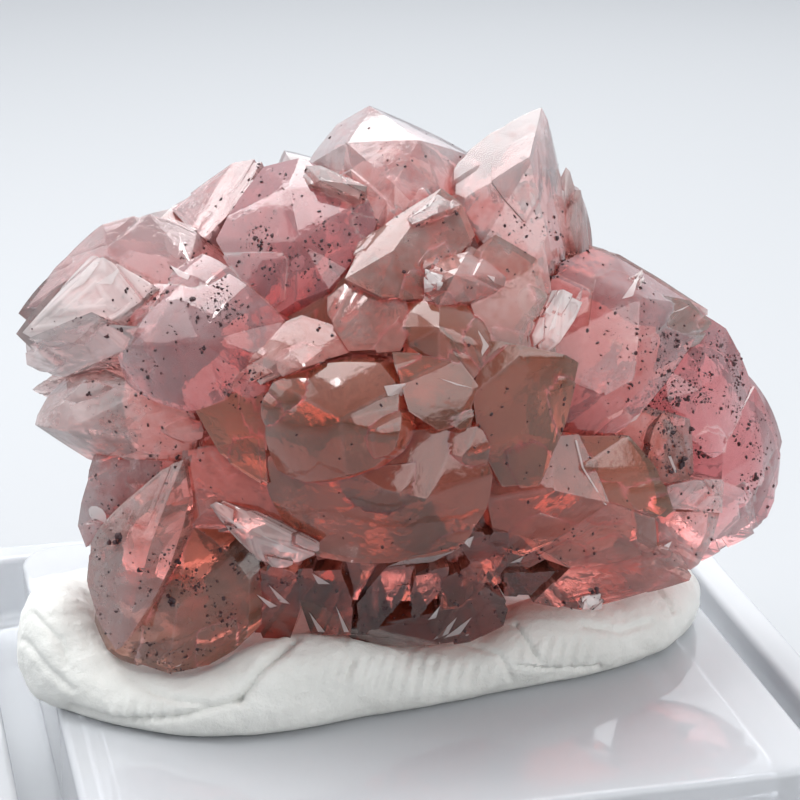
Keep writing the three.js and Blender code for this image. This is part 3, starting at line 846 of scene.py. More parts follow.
def all_crystals(grow=0.0):
    """Every crystal as its own piece, all grown outwards by the same small amount."""
    pieces = []
    for row in [*INNER_CRYSTALS, *far_side]:
        steps = MOTHER_STEPS if row is MOTHER else steps_for(row)
        pieces.append(crystal_piece(row, steps, len(pieces), grow=grow))
    for name in FRONT_CRYSTALS:
        pieces += cornered_crystals(name, len(pieces), grow)
    return pieces


def union_of(pieces):
    """One solid from many, by a single Boolean over a collection."""
    first, rest = pieces[0], pieces[1:]
    others = bpy.data.collections.new("others")
    for piece in rest:
        others.objects.link(piece)
    join = first.modifiers.new("join", "BOOLEAN")
    join.operation = "UNION"
    join.solver = "MANIFOLD"
    join.operand_type = "COLLECTION"
    join.collection = others
    evaluated(first)
    for piece in rest:
        bpy.data.objects.remove(piece)
    bpy.data.collections.remove(others)
    return first


cluster = union_of(all_crystals())
cluster.name = "smithsonite_crystals"
print("cluster:", len(cluster.data.vertices), "points,", len(cluster.data.polygons), "faces")

# %% [markdown]
# The heart of the specimen and the crevices between its crystals are given painted shade, deep and brown,
# standing for light that reaches them through the most crystal and for the shade between crystals. Each
# point gets a number for that: how near the heart it lies, plus the share of short looks outwards that
# another crystal stops.

# %% Painted shade of the heart and crevices
HEART = np.array([0.8, 0.0, 6.2])
HEART_REACH = np.array([12.0, 30.0, 12.5])
HEART_SHADE = 1.4
CREVICE_REACH = 3.0
CREVICE_SHADE = 0.55
LOOKS = list(itertools.product((1, -1), repeat=3))
LOOK_SPREAD = 0.5
LOOK_START = 0.02


def crevice_occlusion(points, normals, tree):
    """The share of looks outwards from each point that meet another crystal close by."""
    met = np.zeros(len(points))
    for look in LOOKS:
        ways = normals + LOOK_SPREAD * np.array(look)
        starts = points + LOOK_START * normals
        for i, (start, way) in enumerate(zip(starts.tolist(), ways.tolist())):
            met[i] += tree.ray_cast(start, way, CREVICE_REACH)[0] is not None
    return met / len(LOOKS)


cluster_points = points_of(cluster.data)
cluster_faces = [tuple(face.vertices) for face in cluster.data.polygons]
cluster_tree = BVHTree.FromPolygons(cluster_points, cluster_faces)
inner_part = 1 - np.linalg.norm((cluster_points - HEART) / HEART_REACH, axis=1)
crevice_shade = crevice_occlusion(cluster_points, points_of(cluster.data, "normal"), cluster_tree)
# the heart number is painted shade: darker near the middle of the cluster and in the crevices
add_layer(cluster, "heart", np.clip(HEART_SHADE * inner_part + CREVICE_SHADE * crevice_shade, 0, 1))
print("crevices: mean crowding", round(crevice_shade.mean(), 2))

# %% [markdown]
# ## The putty
#
# Mineral putty is rolled between the fingers into a soft rope, laid in a ring and pressed flat under the
# specimen. The rope's middle line is a few points round the deck, each with a half width and a height. A
# tube along it and a flat pad inside it are melted together by a voxel remesh, which leaves the soft
# shoulders that pressed putty has and that joined primitives lack.

# %% Rope of putty
# x, y, half width, height, anticlockwise from the left end
BEAD = np.array([
    (-12.1, -1.8, 1.5, 3.5), (-11.6, -3.9, 1.6, 3.7), (-9.4, -5.5, 1.4, 1.9), (-6.8, -6.4, 1.3, 1.8),
    (-4.2, -6.1, 1.5, 3.0), (-1.5, -5.1, 1.5, 2.9), (0.9, -4.2, 1.4, 2.1), (3.1, -3.3, 1.4, 2.2),
    (5.0, -2.5, 1.5, 3.0), (7.6, -1.3, 1.4, 2.4), (9.9, 0.8, 1.4, 2.3), (10.8, 3.0, 1.2, 2.1),
    (9.6, 4.9, 1.4, 2.3), (5.4, 6.1, 1.4, 2.3), (0.4, 6.0, 1.5, 2.6), (-4.6, 5.2, 1.4, 2.4),
    (-9.2, 3.4, 1.5, 2.4), (-11.8, 0.6, 1.5, 2.5),
])
BEAD_STEPS = 8
BEAD_SECTION = 20
BEAD_MIDDLE_SHARE = 0.42
PAD_HEIGHT = 1.6
FOOT = 0.02


def round_trip(table, steps):
    """A smooth closed curve through all rows of a table."""
    rows = []
    for i in range(len(table)):
        p0, p1, p2, p3 = (table[(i + k) % len(table)] for k in (-1, 0, 1, 2))
        for share in np.arange(steps) / steps:
            bend = 2 * p0 - 5 * p1 + 4 * p2 - p3
            rest = -p0 + 3 * p1 - 3 * p2 + p3
            rows.append(p1 + 0.5 * share * (p2 - p0 + share * (bend + share * rest)))
    return np.array(rows)


rope = round_trip(BEAD, BEAD_STEPS)
forward = np.roll(rope, -1, axis=0)[:, :2] - np.roll(rope, 1, axis=0)[:, :2]
outward = np.column_stack([forward[:, 1], -forward[:, 0]])
outward /= np.linalg.norm(outward, axis=1, keepdims=True)
print("rope is", round(np.linalg.norm(forward, axis=1).sum() / 2, 1), "mm round")

# %% Tube and pad, melted together
VOXEL = 0.11
SOFTENING = 0.5
SOFTENING_ROUNDS = 12


def rope_tube():
    """Points and faces of the rope, flattened where it lies on the deck."""
    points, faces = [], []
    for (x, y, half_width, height), side in zip(rope, outward):
        for angle in np.arange(BEAD_SECTION) * math.tau / BEAD_SECTION:
            up = height * (BEAD_MIDDLE_SHARE + (1 - BEAD_MIDDLE_SHARE) * math.sin(angle))
            out = half_width * math.cos(angle)
            points.append((x + side[0] * out, y + side[1] * out, max(FOOT, up)))
    for i in range(len(rope)):
        first = i * BEAD_SECTION
        second = (i + 1) % len(rope) * BEAD_SECTION
        for j in range(BEAD_SECTION):
            k = (j + 1) % BEAD_SECTION
            faces.append((first + j, second + j, second + k, first + k))
    return points, faces


def pad():
    """Points and faces of the flat pad that fills the ring."""
    low = [(x, y, FOOT) for x, y, _, _ in rope]
    high = [(x, y, PAD_HEIGHT) for x, y, _, _ in rope]
    return closed_loft([high, low])


tube_points, tube_faces = rope_tube()
pad_points, pad_faces = pad()
shift = len(tube_points)
putty_faces = [*tube_faces, *[[shift + i for i in face] for face in pad_faces]]
putty = new_piece("putty_bead", [*tube_points, *pad_points], putty_faces)
melt = putty.modifiers.new("melt", "REMESH")
melt.mode = "VOXEL"
melt.voxel_size = VOXEL
soften = putty.modifiers.new("soften", "SMOOTH")
soften.factor = SOFTENING
soften.iterations = SOFTENING_ROUNDS
evaluated(putty)
print("putty:", len(putty.data.vertices), "points after melting")

# %% [markdown]
# Hands leave three kinds of mark on putty: broad lumps, creases where the rope was folded or joined, and
# the fine ridges of fingertips. They are pushed into the mesh itself, along its normals, so that they
# hold from every side and cast true shadows.

# %% Hand marks on the putty
# Each crease is a groove along a given line: the columns and rows it is seen at, depth, half width.
CREASE_CUT = 1.3
CREASES = [
    ([(295, 639), (262, 668), (240, 700)], 0.22, 0.16),
    ([(240, 700), (180, 716), (120, 722), (70, 708)], 0.16, 0.14),
    ([(515, 665), (560, 671), (600, 667)], 0.10, 0.07),
    ([(657, 590), (668, 602), (672, 612)], 0.10, 0.07),
    ([(515, 623), (527, 640), (539, 661)], 0.10, 0.09),
    ([(22, 640), (48, 668), (72, 690)], 0.10, 0.12),
    ([(150, 690), (172, 700), (205, 704)], 0.10, 0.12),
    ([(466, 640), (500, 655), (512, 680)], 0.08, 0.10),
    ([(345, 640), (352, 662), (340, 690)], 0.07, 0.09),
    ([(30, 612), (60, 640), (66, 664)], 0.08, 0.12),
    ([(585, 625), (620, 632), (650, 622)], 0.08, 0.12),
]
FINGER_RIDGE_PIXELS = 13.7
FINGER_RIDGE_HEIGHT = 0.06
FINGER_RIDGE_PLACES = [((402, 676), (92, 20)), ((150, 712), (44, 14)), ((560, 655), (40, 16))]
FINGER_RIDGE_SLANT = 0.25
VIEW_PIXEL_MM = 0.035
FACING_GAIN = -2.5
CLEAR_HEIGHT = 0.4
# size, depth
LUMPS = [(3.2, 0.18), (1.4, 0.10), (0.6, 0.05), (0.28, 0.025)]


def line_distance(columns, rows, line):
    """How far each seen place lies from a broken line, in pixels."""
    nearest = np.full(len(columns), np.inf)
    for (x1, y1), (x2, y2) in zip(line, line[1:]):
        length_squared = (x2 - x1) ** 2 + (y2 - y1) ** 2
        share = ((columns - x1) * (x2 - x1) + (rows - y1) * (y2 - y1)) / length_squared
        share = np.clip(share, 0, 1)
        gap = np.hypot(columns - x1 - share * (x2 - x1), rows - y1 - share * (y2 - y1))
        nearest = np.minimum(nearest, gap)
    return nearest


def hand_marks(points, normals):
    """How far the surface of the putty stands in or out, in millimetres."""
    height = sum(lumpy(points, size, seed=round(10 * size)) * depth for size, depth in LUMPS)
    columns, rows = seen_from(points)
    faces_viewer = np.clip(FACING_GAIN * normals @ VIEW_AHEAD, 0, 1)
    for line, depth, half_width in CREASES:
        gap = line_distance(columns, rows, line) * VIEW_PIXEL_MM / half_width
        height -= CREASE_CUT * depth * np.exp(-gap**2) * faces_viewer
    for (column, row), (half_wide, half_high) in FINGER_RIDGE_PLACES:
        reach = ((columns - column) / half_wide) ** 2 + ((rows - row) / half_high) ** 2
        wave = np.sin(math.tau * (columns + FINGER_RIDGE_SLANT * rows) / FINGER_RIDGE_PIXELS)
        height += FINGER_RIDGE_HEIGHT * wave * np.exp(-(reach**2)) * faces_viewer
    return height


putty_points = points_of(putty.data)
putty_normals = points_of(putty.data, "normal")
relief = hand_marks(putty_points, putty_normals)
clear_of_deck = np.clip((putty_points[:, 2] - FOOT) / CLEAR_HEIGHT, 0, 1)
set_points(putty.data, putty_points + putty_normals * (relief * clear_of_deck)[:, None])
print("putty relief from", round(relief.min(), 2), "to", round(relief.max(), 2), "mm")

# %% [markdown]
# The putty's bed has the shape of the crystals that were pressed into it. Cutting it with the same
# crystals, grown by a hair's breadth, makes that bed, and leaves a gap too thin to see.

# %% Press the crystals into it
PUTTY_GAP = 0.04

mould = union_of(all_crystals(grow=PUTTY_GAP))
press = putty.modifiers.new("press", "BOOLEAN")
press.operation = "DIFFERENCE"
press.solver = "MANIFOLD"
press.object = mould
evaluated(putty)
bpy.data.objects.remove(mould)
print("putty:", len(putty.data.polygons), "faces after pressing")

# %% [markdown]
# ## Materials
#
# Each finish is a small node tree. What is the same all over a surface is set on the shader itself, and
# only what varies from place to place comes through nodes, from positions on the piece or from the
# numbers that the crystals carry.

# %% Material helpers
def material(name):
    """A new material with its tree, its surface shader and its output."""
    made = bpy.data.materials.new(name)
    made.use_nodes = True
    tree = made.node_tree
    return made, tree, tree.nodes["Principled BSDF"], tree.nodes["Material Output"]


def node(tree, kind, **settings):
    """A new node. Each setting is a value for the socket of that name, or else for the node itself."""
    made = tree.nodes.new(kind)
    for key, value in settings.items():
        if key in made.inputs:
            made.inputs[key].default_value = value
        else:
            setattr(made, key, value)
    return made


def give(made, **values):
    """Sets a node's sockets by name, with an underscore for each space."""
    for label, value in values.items():
        made.inputs[label.replace("_", " ")].default_value = value


def noise(tree, size_mm, detail=3.0, rough=0.55):
    """Noise in the piece's own space, with lumps of the given size."""
    place = node(tree, "ShaderNodeTexCoord")
    made = node(tree, "ShaderNodeTexNoise", Scale=1 / (size_mm * MM), Detail=detail, Roughness=rough)
    tree.links.new(place.outputs["Object"], made.inputs["Vector"])
    return made.outputs["Fac"]


def graded(tree, source, *stops):
    """A ramp over a number: stops are (place, colour) or (place, number)."""
    ramp = node(tree, "ShaderNodeValToRGB")
    tree.links.new(source, ramp.inputs["Fac"])
    while len(ramp.color_ramp.elements) < len(stops):
        ramp.color_ramp.elements.new(0.5)
    for element, (place, colour) in zip(ramp.color_ramp.elements, stops):
        element.position = place
        element.color = (*(colour if isinstance(colour, tuple) else (colour,) * 3), 1.0)
    return ramp.outputs["Color"]


def combined(tree, operation, first, second=0.0):
    """Two numbers put together by an operation. Each is a plain number or comes from another node."""
    made = node(tree, "ShaderNodeMath", operation=operation)
    for socket, value in zip(made.inputs, (first, second)):
        if isinstance(value, (int, float)):
            socket.default_value = value
        else:
            tree.links.new(value, socket)
    return made.outputs["Value"]


def blended(tree, share, first, second):
    """Two colours mixed by a number."""
    made = node(tree, "ShaderNodeMix", data_type="RGBA")
    tree.links.new(share, made.inputs[0])
    for index, value in ((6, first), (7, second)):
        if isinstance(value, tuple):
            made.inputs[index].default_value = (*value, 1.0)
        else:
            tree.links.new(value, made.inputs[index])
    return made.outputs[2]


def bumped(tree, shader, height, depth_mm):
    """Fine relief in the shading only."""
    made = node(tree, "ShaderNodeBump", Strength=1.0, Distance=depth_mm * MM)
    tree.links.new(height, made.inputs["Height"])
    tree.links.new(made.outputs["Normal"], shader.inputs["Normal"])


def own(tree, label):
    """A number that the mesh carries on its points."""
    return node(tree, "ShaderNodeAttribute", attribute_name=label).outputs["Fac"]

# %% [markdown]
# The base is moulded clear plastic. Under soft light it looks a little milky, because its walls bend the
# light of the pale sheet and carry fine scratches. About half transmission over a very pale body gives
# that look at once, where pure glass would show mostly dark refractions.

# %% Clear plastic
def clear_plastic():
    """Moulded plastic, a little milky, with the slight waves that a mould leaves."""
    made, tree, shader, _ = material("clear_plastic")
    give(shader, Base_Color=(0.95, 0.97, 1.0, 1), Transmission_Weight=0.52, IOR=1.42)
    rough = graded(tree, noise(tree, 4.0), (0.3, 0.02), (0.75, 0.07))
    tree.links.new(rough, shader.inputs["Roughness"])
    bumped(tree, shader, noise(tree, 6.0, detail=2.0), depth_mm=0.02)
    return made


base.data.materials.append(clear_plastic())

# %% [markdown]
# Mineral putty is matt, off-white and opaque. Its lumps and prints are in the mesh already, so the finish
# adds only a slight change of tone and a grain too small to model.

# %% Putty
def putty_finish():
    """Matt off-white putty, fine-grained and a little uneven in tone."""
    made, tree, shader, _ = material("putty")
    tone = graded(
        tree, noise(tree, 2.2, detail=5.0),
        (0.25, (0.72, 0.72, 0.68)), (0.6, (0.80, 0.80, 0.76)), (0.85, (0.86, 0.86, 0.82)),
    )
    tree.links.new(tone, shader.inputs["Base Color"])
    give(shader, IOR=1.46)
    rough = graded(tree, noise(tree, 0.8), (0.3, 0.38), (0.8, 0.6))
    tree.links.new(rough, shader.inputs["Roughness"])
    bumped(tree, shader, noise(tree, 0.35, detail=6.0, rough=0.7), depth_mm=0.09)
    return made


putty.data.materials.append(putty_finish())
seated(putty, "mineral_putty", crease_degrees=35)

# %% [markdown]
# Zoned smithsonite is pale pink at its thin edges, brownish red in its depth, and clear only in part.
# Each of those is built up by its own function below: the depth, the colour, the haze that hides the
# inside, and the relief. The depth is painted shade, darkest at the heart and in the crevices, broken by
# clouds and streaks. What is left clear is true glass with absorption, so that light which enters
# a crystal leaves it redder the farther it went.

# %% Painted depth shade, frost and painted highlights of a crystal
LINE_SPACING = 0.2
EDGE_BAND = 0.035
EDGE_HIGHLIGHT = 0.2
FIBRES, FINE_FIBRES = 12.0, 42.0
CLOUD_STRENGTH = 0.5
STREAK_STRENGTH = 0.45


def fibres(tree, scale):
    """Noise that changes with direction from the heart of the specimen, so that it runs out in streaks."""
    place = node(tree, "ShaderNodeTexCoord")
    away = node(tree, "ShaderNodeVectorMath", operation="SUBTRACT")
    away.inputs[1].default_value = seat @ Vector(HEART)
    tree.links.new(place.outputs["Object"], away.inputs[0])
    towards = node(tree, "ShaderNodeVectorMath", operation="NORMALIZE")
    tree.links.new(away.outputs["Vector"], towards.inputs[0])
    made = node(tree, "ShaderNodeTexNoise", Scale=scale, Detail=3.0)
    tree.links.new(towards.outputs["Vector"], made.inputs["Vector"])
    return made.outputs["Fac"]


def depth_shade_and_clouds(tree, fine):
    """How dark a place looks, from 0 to 1: the painted shade that its point carries, clouded and streaked."""
    clouds = combined(tree, "SUBTRACT", noise(tree, 2.5, detail=2.0), 0.5)
    streaks = combined(tree, "SUBTRACT", combined(tree, "ADD", fibres(tree, FIBRES), fine), 1.0)
    cloudy = combined(tree, "MULTIPLY", clouds, CLOUD_STRENGTH)
    streaky = combined(tree, "MULTIPLY", streaks, STREAK_STRENGTH)
    return combined(tree, "ADD", own(tree, "heart"), combined(tree, "ADD", cloudy, streaky))


def frosting(tree, lines):
    """How white a place is: the crystal's own frost in growth lines, or a painted highlight in a thin band along
    its edges.
    """
    # the white band along the edges is a painted highlight
    band = node(tree, "ShaderNodeMapRange")
    give(band, From_Max=EDGE_BAND, To_Min=EDGE_HIGHLIGHT, To_Max=0.0)
    tree.links.new(own(tree, "edge"), band.inputs["Value"])
    painted_edge_highlight = combined(tree, "MULTIPLY", band.outputs["Result"], noise(tree, 0.8, detail=1.0))
    striped = graded(tree, lines, (0.0, 0.7), (0.8, 0.86))
    return combined(tree, "MAXIMUM", combined(tree, "MULTIPLY", own(tree, "frost"), striped), painted_edge_highlight)


# %% Colour, haze and relief of a crystal
ROSE = (0.73, 0.245, 0.268)
BROWN = (0.31, 0.125, 0.068)
FROST_AND_HIGHLIGHT_WHITE = (0.93, 0.87, 0.85)
CLEAREST = 0.9
FROST_HAZE = 0.6
BROWN_HAZE = 0.15
LINE_RELIEF = 0.5
FIBRE_RELIEF = 0.3
RELIEF_MM = 0.04


def crystal_colour(tree, deep, brown, frost):
    """Pale to red by the painted depth shade, then towards rose below zero brownness and towards brown above it.
    """
    body = graded(
        tree, deep,
        (0.0, (0.97, 0.86, 0.85)), (0.18, (0.92, 0.57, 0.55)), (0.4, (0.75, 0.24, 0.21)),
        (0.65, (0.49, 0.11, 0.08)), (0.85, (0.28, 0.06, 0.04)), (1.0, (0.15, 0.033, 0.022)),
    )
    rosy = blended(tree, combined(tree, "MULTIPLY", brown, -1.0), body, ROSE)
    stained = blended(tree, brown, rosy, BROWN)
    # frost, the painted glints and the painted edge highlight all blend towards white here
    return blended(tree, frost, stained, FROST_AND_HIGHLIGHT_WHITE)


def clearness(tree, deep, brown, frost):
    """How much light passes a place: less through frost, stain and the pale outer zones."""
    stain_haze = combined(tree, "MULTIPLY", combined(tree, "MAXIMUM", brown, 0.0), BROWN_HAZE)
    zone_haze = graded(tree, deep, (0.0, 0.18), (0.4, 0.16), (0.8, 0.02))
    veils = combined(tree, "MAXIMUM", combined(tree, "MULTIPLY", frost, FROST_HAZE), zone_haze)
    return combined(tree, "SUBTRACT", CLEAREST, combined(tree, "ADD", veils, stain_haze))


def ripples(tree, lines, frost, fine):
    """Relief of growth lines where there is frost, of fibres, and of soft ripples everywhere."""
    lined = combined(tree, "MULTIPLY", lines, combined(tree, "MULTIPLY", frost, LINE_RELIEF))
    grain = combined(tree, "MULTIPLY", fine, FIBRE_RELIEF)
    soft = combined(tree, "ADD", noise(tree, 1.0, detail=2.0, rough=0.6), grain)
    return combined(tree, "ADD", lined, soft)


# %% Crystal
def crystal_finish():
    """See-through zoned crystal, glossy, with its absorption in the volume."""
    made, tree, shader, output = material("smithsonite")
    fine, brown = fibres(tree, FINE_FIBRES), own(tree, "brown")
    deep = depth_shade_and_clouds(tree, fine)
    lines = combined(tree, "SINE", combined(tree, "MULTIPLY", own(tree, "edge"), math.tau / LINE_SPACING))
    frost = frosting(tree, lines)
    tree.links.new(crystal_colour(tree, deep, brown, frost), shader.inputs["Base Color"])
    tree.links.new(clearness(tree, deep, brown, frost), shader.inputs["Transmission Weight"])
    give(shader, IOR=1.45, Coat_Weight=0.6, Coat_IOR=1.6, Coat_Roughness=0.04)
    rough = graded(tree, noise(tree, 1.4, detail=1.0), (0.35, 0.03), (0.8, 0.13))
    tree.links.new(rough, shader.inputs["Roughness"])
    bumped(tree, shader, ripples(tree, lines, frost, fine), RELIEF_MM)
    inside = node(tree, "ShaderNodeVolumeAbsorption", Color=(0.88, 0.53, 0.50, 1), Density=150.0)
    tree.links.new(inside.outputs["Volume"], output.inputs["Volume"])
    return made


cluster.data.materials.append(crystal_finish())

# %% [markdown]
# ## What is sealed in the crystals
#
# Dark grains and clots are set at the faces, partly sunk in them, so that they stay crisp, and the pale
# flaws lie deeper. Where grains crowd is given as clouds round places that the viewer sees.
# Geometry Nodes strews the small grains by that density, since some nine thousand grains are one rule,
# while the clots that the eye picks out are placed one by one.

# %% Clouds of specks
# column, row, radius in millimetres, how many times the tree's density
SPECK_CLOUDS = [
    (198, 322, 1.5, 15), (178, 300, 1.2, 9), (205, 355, 1.4, 13), (165, 392, 1.4, 3), (240, 340, 1.6, 5),
    (110, 330, 1.8, 1.5), (120, 430, 1.6, 3), (150, 455, 1.2, 3), (262, 228, 1.8, 12), (302, 232, 1.3, 9),
    (285, 283, 1.5, 4), (240, 262, 1.2, 6), (418, 150, 1.0, 4), (418, 228, 0.8, 9), (395, 262, 1.4, 2),
    (505, 262, 1.3, 4), (552, 236, 1.2, 10), (528, 240, 1.0, 6), (560, 270, 1.3, 8), (600, 330, 2.0, 1.5),
    (662, 340, 1.6, 6), (683, 402, 1.6, 13), (726, 372, 1.5, 12), (712, 420, 2.2, 5), (750, 440, 2.0, 5),
    (650, 385, 1.3, 4), (640, 430, 1.5, 9), (735, 480, 2.0, 5), (700, 500, 2.0, 3), (560, 460, 1.6, 2),
    (170, 598, 1.9, 11), (195, 572, 1.5, 9), (130, 545, 1.4, 5), (215, 620, 1.5, 8), (165, 650, 1.4, 6),
    (110, 510, 1.4, 4), (440, 632, 1.4, 8), (385, 625, 1.4, 4), (585, 590, 1.3, 6), (530, 548, 1.6, 6),
    (500, 595, 1.2, 6), (345, 500, 2.2, 0.8), (520, 400, 1.6, 1.5), (290, 600, 1.0, 5), (470, 545, 1.2, 4),
]
STRAY_GRAINS = 0.35
# size in millimetres, strength and seed of the clumps that break up the clouds, over an even share
EVEN_SHARE = 0.3
CLUMPS = [(1.1, 1.9, 4), (0.33, 1.5, 5)]
DENSEST_CLUMP = 3
RIGHT_FLANK = np.array([13.0, 2.0, 9.0])
RIGHT_FLANK_REACH = 5.0
RIGHT_FLANK_GRAINS = 0.8


def speck_density(points, tree):
    """How many times the tree's density the grains have at each point of the crystals."""
    away = np.linalg.norm(points - RIGHT_FLANK, axis=1)
    density = STRAY_GRAINS + RIGHT_FLANK_GRAINS * np.exp(-((away / RIGHT_FLANK_REACH) ** 2))
    for column, row, radius, amount in SPECK_CLOUDS:
        place, _ = seen_on(tree, column, row)
        away = np.linalg.norm(points - np.array(place), axis=1)
        density += amount * np.exp(-((away / radius) ** 2))
    clumps = sum((strength * lumpy(points, size, seed) for size, strength, seed in CLUMPS), EVEN_SHARE)
    return density * np.clip(clumps, 0, DENSEST_CLUMP)


cloud = speck_density(cluster_points, cluster_tree)
add_layer(cluster, "cloud", cloud)
print("densest cloud:", round(cloud.max(), 1), "times the tree's density")

# %% [markdown]
# The dark grains are another mineral, nearly black with a touch of red. The pale flaws are small gaps
# along cleavage planes, which throw white light back and still let much of it through.

# %% Finishes of specks and flaws
def dark_mineral():
    """Nearly black grains, faintly red."""
    made, tree, shader, _ = material("dark_mineral")
    tone = graded(tree, noise(tree, 0.5), (0.35, (0.02, 0.006, 0.01)), (0.7, (0.07, 0.02, 0.022)))
    tree.links.new(tone, shader.inputs["Base Color"])
    give(shader, Roughness=0.5)
    return made


def pale_flaw_and_glint():
    """A thin white veil that lets most of what is behind it show, for the flaws and for the painted glints."""
    made, _, shader, _ = material("pale_flaw_and_glint")
    give(shader, Base_Color=(1.0, 0.93, 0.91, 1), Roughness=0.18, IOR=1.6, Alpha=0.3)
    return made

# %% [markdown]
# A tree of nodes strews points on the faces by the density that was just stored, moves each one a little
# way in or out, and puts a small lopsided ball there. The same tree makes the pale flaws, with fewer, larger and
# flatter balls set deeper.

# %% Strewn grains
RARITY_OF_LARGE = 4.0
LEAST_STRETCH, MOST_STRETCH = 0.35, 1.7


def grain_tree():
    """Grains strewn by `cloud`, each stretched its own way and pushed in by Shallowest to Depth."""
    tree = bpy.data.node_groups.new("strewn_grains", "GeometryNodeTree")
    link, socket = tree.links.new, tree.interface.new_socket
    socket("Geometry", in_out="INPUT", socket_type="NodeSocketGeometry")
    for label in ("Density", "Smallest", "Largest", "Shallowest", "Depth", "Flatness"):
        socket(label, in_out="INPUT", socket_type="NodeSocketFloat")
    socket("Seed", in_out="INPUT", socket_type="NodeSocketInt")
    socket("Finish", in_out="INPUT", socket_type="NodeSocketMaterial")
    socket("Geometry", in_out="OUTPUT", socket_type="NodeSocketGeometry")
    given = node(tree, "NodeGroupInput").outputs

    cloud = node(tree, "GeometryNodeInputNamedAttribute", data_type="FLOAT", Name="cloud")
    density = combined(tree, "MULTIPLY", cloud.outputs["Attribute"], given["Density"])
    strewn = node(tree, "GeometryNodeDistributePointsOnFaces", distribute_method="RANDOM")
    link(given["Geometry"], strewn.inputs["Mesh"])
    link(density, strewn.inputs["Density"])
    link(given["Seed"], strewn.inputs["Seed"])

    def chance(seed, low=(0, 0, 0), high=(1, 1, 1)):
        made = node(tree, "FunctionNodeRandomValue", data_type="FLOAT_VECTOR", Min=low, Max=high)
        made.inputs["Seed"].default_value = seed
        return made.outputs["Value"]

    parts = node(tree, "ShaderNodeSeparateXYZ")
    link(chance(1), parts.inputs["Vector"])
    depths = combined(tree, "SUBTRACT", given["Depth"], given["Shallowest"])
    deeper = combined(tree, "MULTIPLY", parts.outputs["X"], depths)
    depth = combined(tree, "ADD", deeper, given["Shallowest"])
    sink = combined(tree, "MULTIPLY", depth, -1.0)
    inward = node(tree, "ShaderNodeVectorMath", operation="SCALE")
    link(strewn.outputs["Normal"], inward.inputs[0])
    link(sink, inward.inputs["Scale"])
    sunk = node(tree, "GeometryNodeSetPosition")
    link(strewn.outputs["Points"], sunk.inputs["Geometry"])
    link(inward.outputs["Vector"], sunk.inputs["Offset"])

    spread = combined(tree, "SUBTRACT", given["Largest"], given["Smallest"])
    rare = combined(tree, "POWER", parts.outputs["Y"], RARITY_OF_LARGE)
    size = combined(tree, "ADD", combined(tree, "MULTIPLY", rare, spread), given["Smallest"])
    flat = node(tree, "ShaderNodeCombineXYZ", X=1.0, Y=1.0)
    link(given["Flatness"], flat.inputs["Z"])
    stretch = node(tree, "ShaderNodeVectorMath", operation="MULTIPLY")
    link(chance(2, (LEAST_STRETCH,) * 3, (MOST_STRETCH,) * 3), stretch.inputs[0])
    link(flat.outputs["Vector"], stretch.inputs[1])
    scale = node(tree, "ShaderNodeVectorMath", operation="SCALE")
    link(stretch.outputs["Vector"], scale.inputs[0])
    link(size, scale.inputs["Scale"])

    grain = node(tree, "GeometryNodeMeshIcoSphere", Subdivisions=1)
    placed_grains = node(tree, "GeometryNodeInstanceOnPoints")
    link(sunk.outputs["Geometry"], placed_grains.inputs["Points"])
    link(grain.outputs["Mesh"], placed_grains.inputs["Instance"])
    link(chance(3, (0, 0, 0), (math.tau,) * 3), placed_grains.inputs["Rotation"])
    link(scale.outputs["Vector"], placed_grains.inputs["Scale"])
    real = node(tree, "GeometryNodeRealizeInstances")
    link(placed_grains.outputs["Instances"], real.inputs["Geometry"])
    finish = node(tree, "GeometryNodeSetMaterial")
    link(real.outputs["Geometry"], finish.inputs["Geometry"])
    link(given["Finish"], finish.inputs["Material"])
    link(finish.outputs["Geometry"], node(tree, "NodeGroupOutput").inputs["Geometry"])
    return tree


def strewn_piece(name, tree, **values):
    """A piece of grains strewn over the crystals, with the tree's inputs set by name."""
    piece = bpy.data.objects.new(name, cluster.data.copy())
    bpy.context.scene.collection.objects.link(piece)
    strew = piece.modifiers.new("strew", "NODES")
    strew.node_group = tree
    for item in tree.interface.items_tree:
        if item.in_out == "INPUT" and item.name in values:
            strew[item.identifier] = values[item.name]
    evaluated(piece, keep_finish=True)
    print(name, len(piece.data.polygons), "faces")
    return piece


grains = grain_tree()
dark, pale = dark_mineral(), pale_flaw_and_glint()
specks = strewn_piece(
    "sealed_specks", grains, Density=4.6, Smallest=0.012, Largest=0.07,
    Shallowest=-0.015, Depth=0.03, Flatness=0.7, Seed=11, Finish=dark,
)
flaws = strewn_piece(
    "sealed_flaws", grains, Density=0.04, Smallest=0.1, Largest=0.5,
    Shallowest=0.2, Depth=1.0, Flatness=0.03, Seed=23, Finish=pale,
)
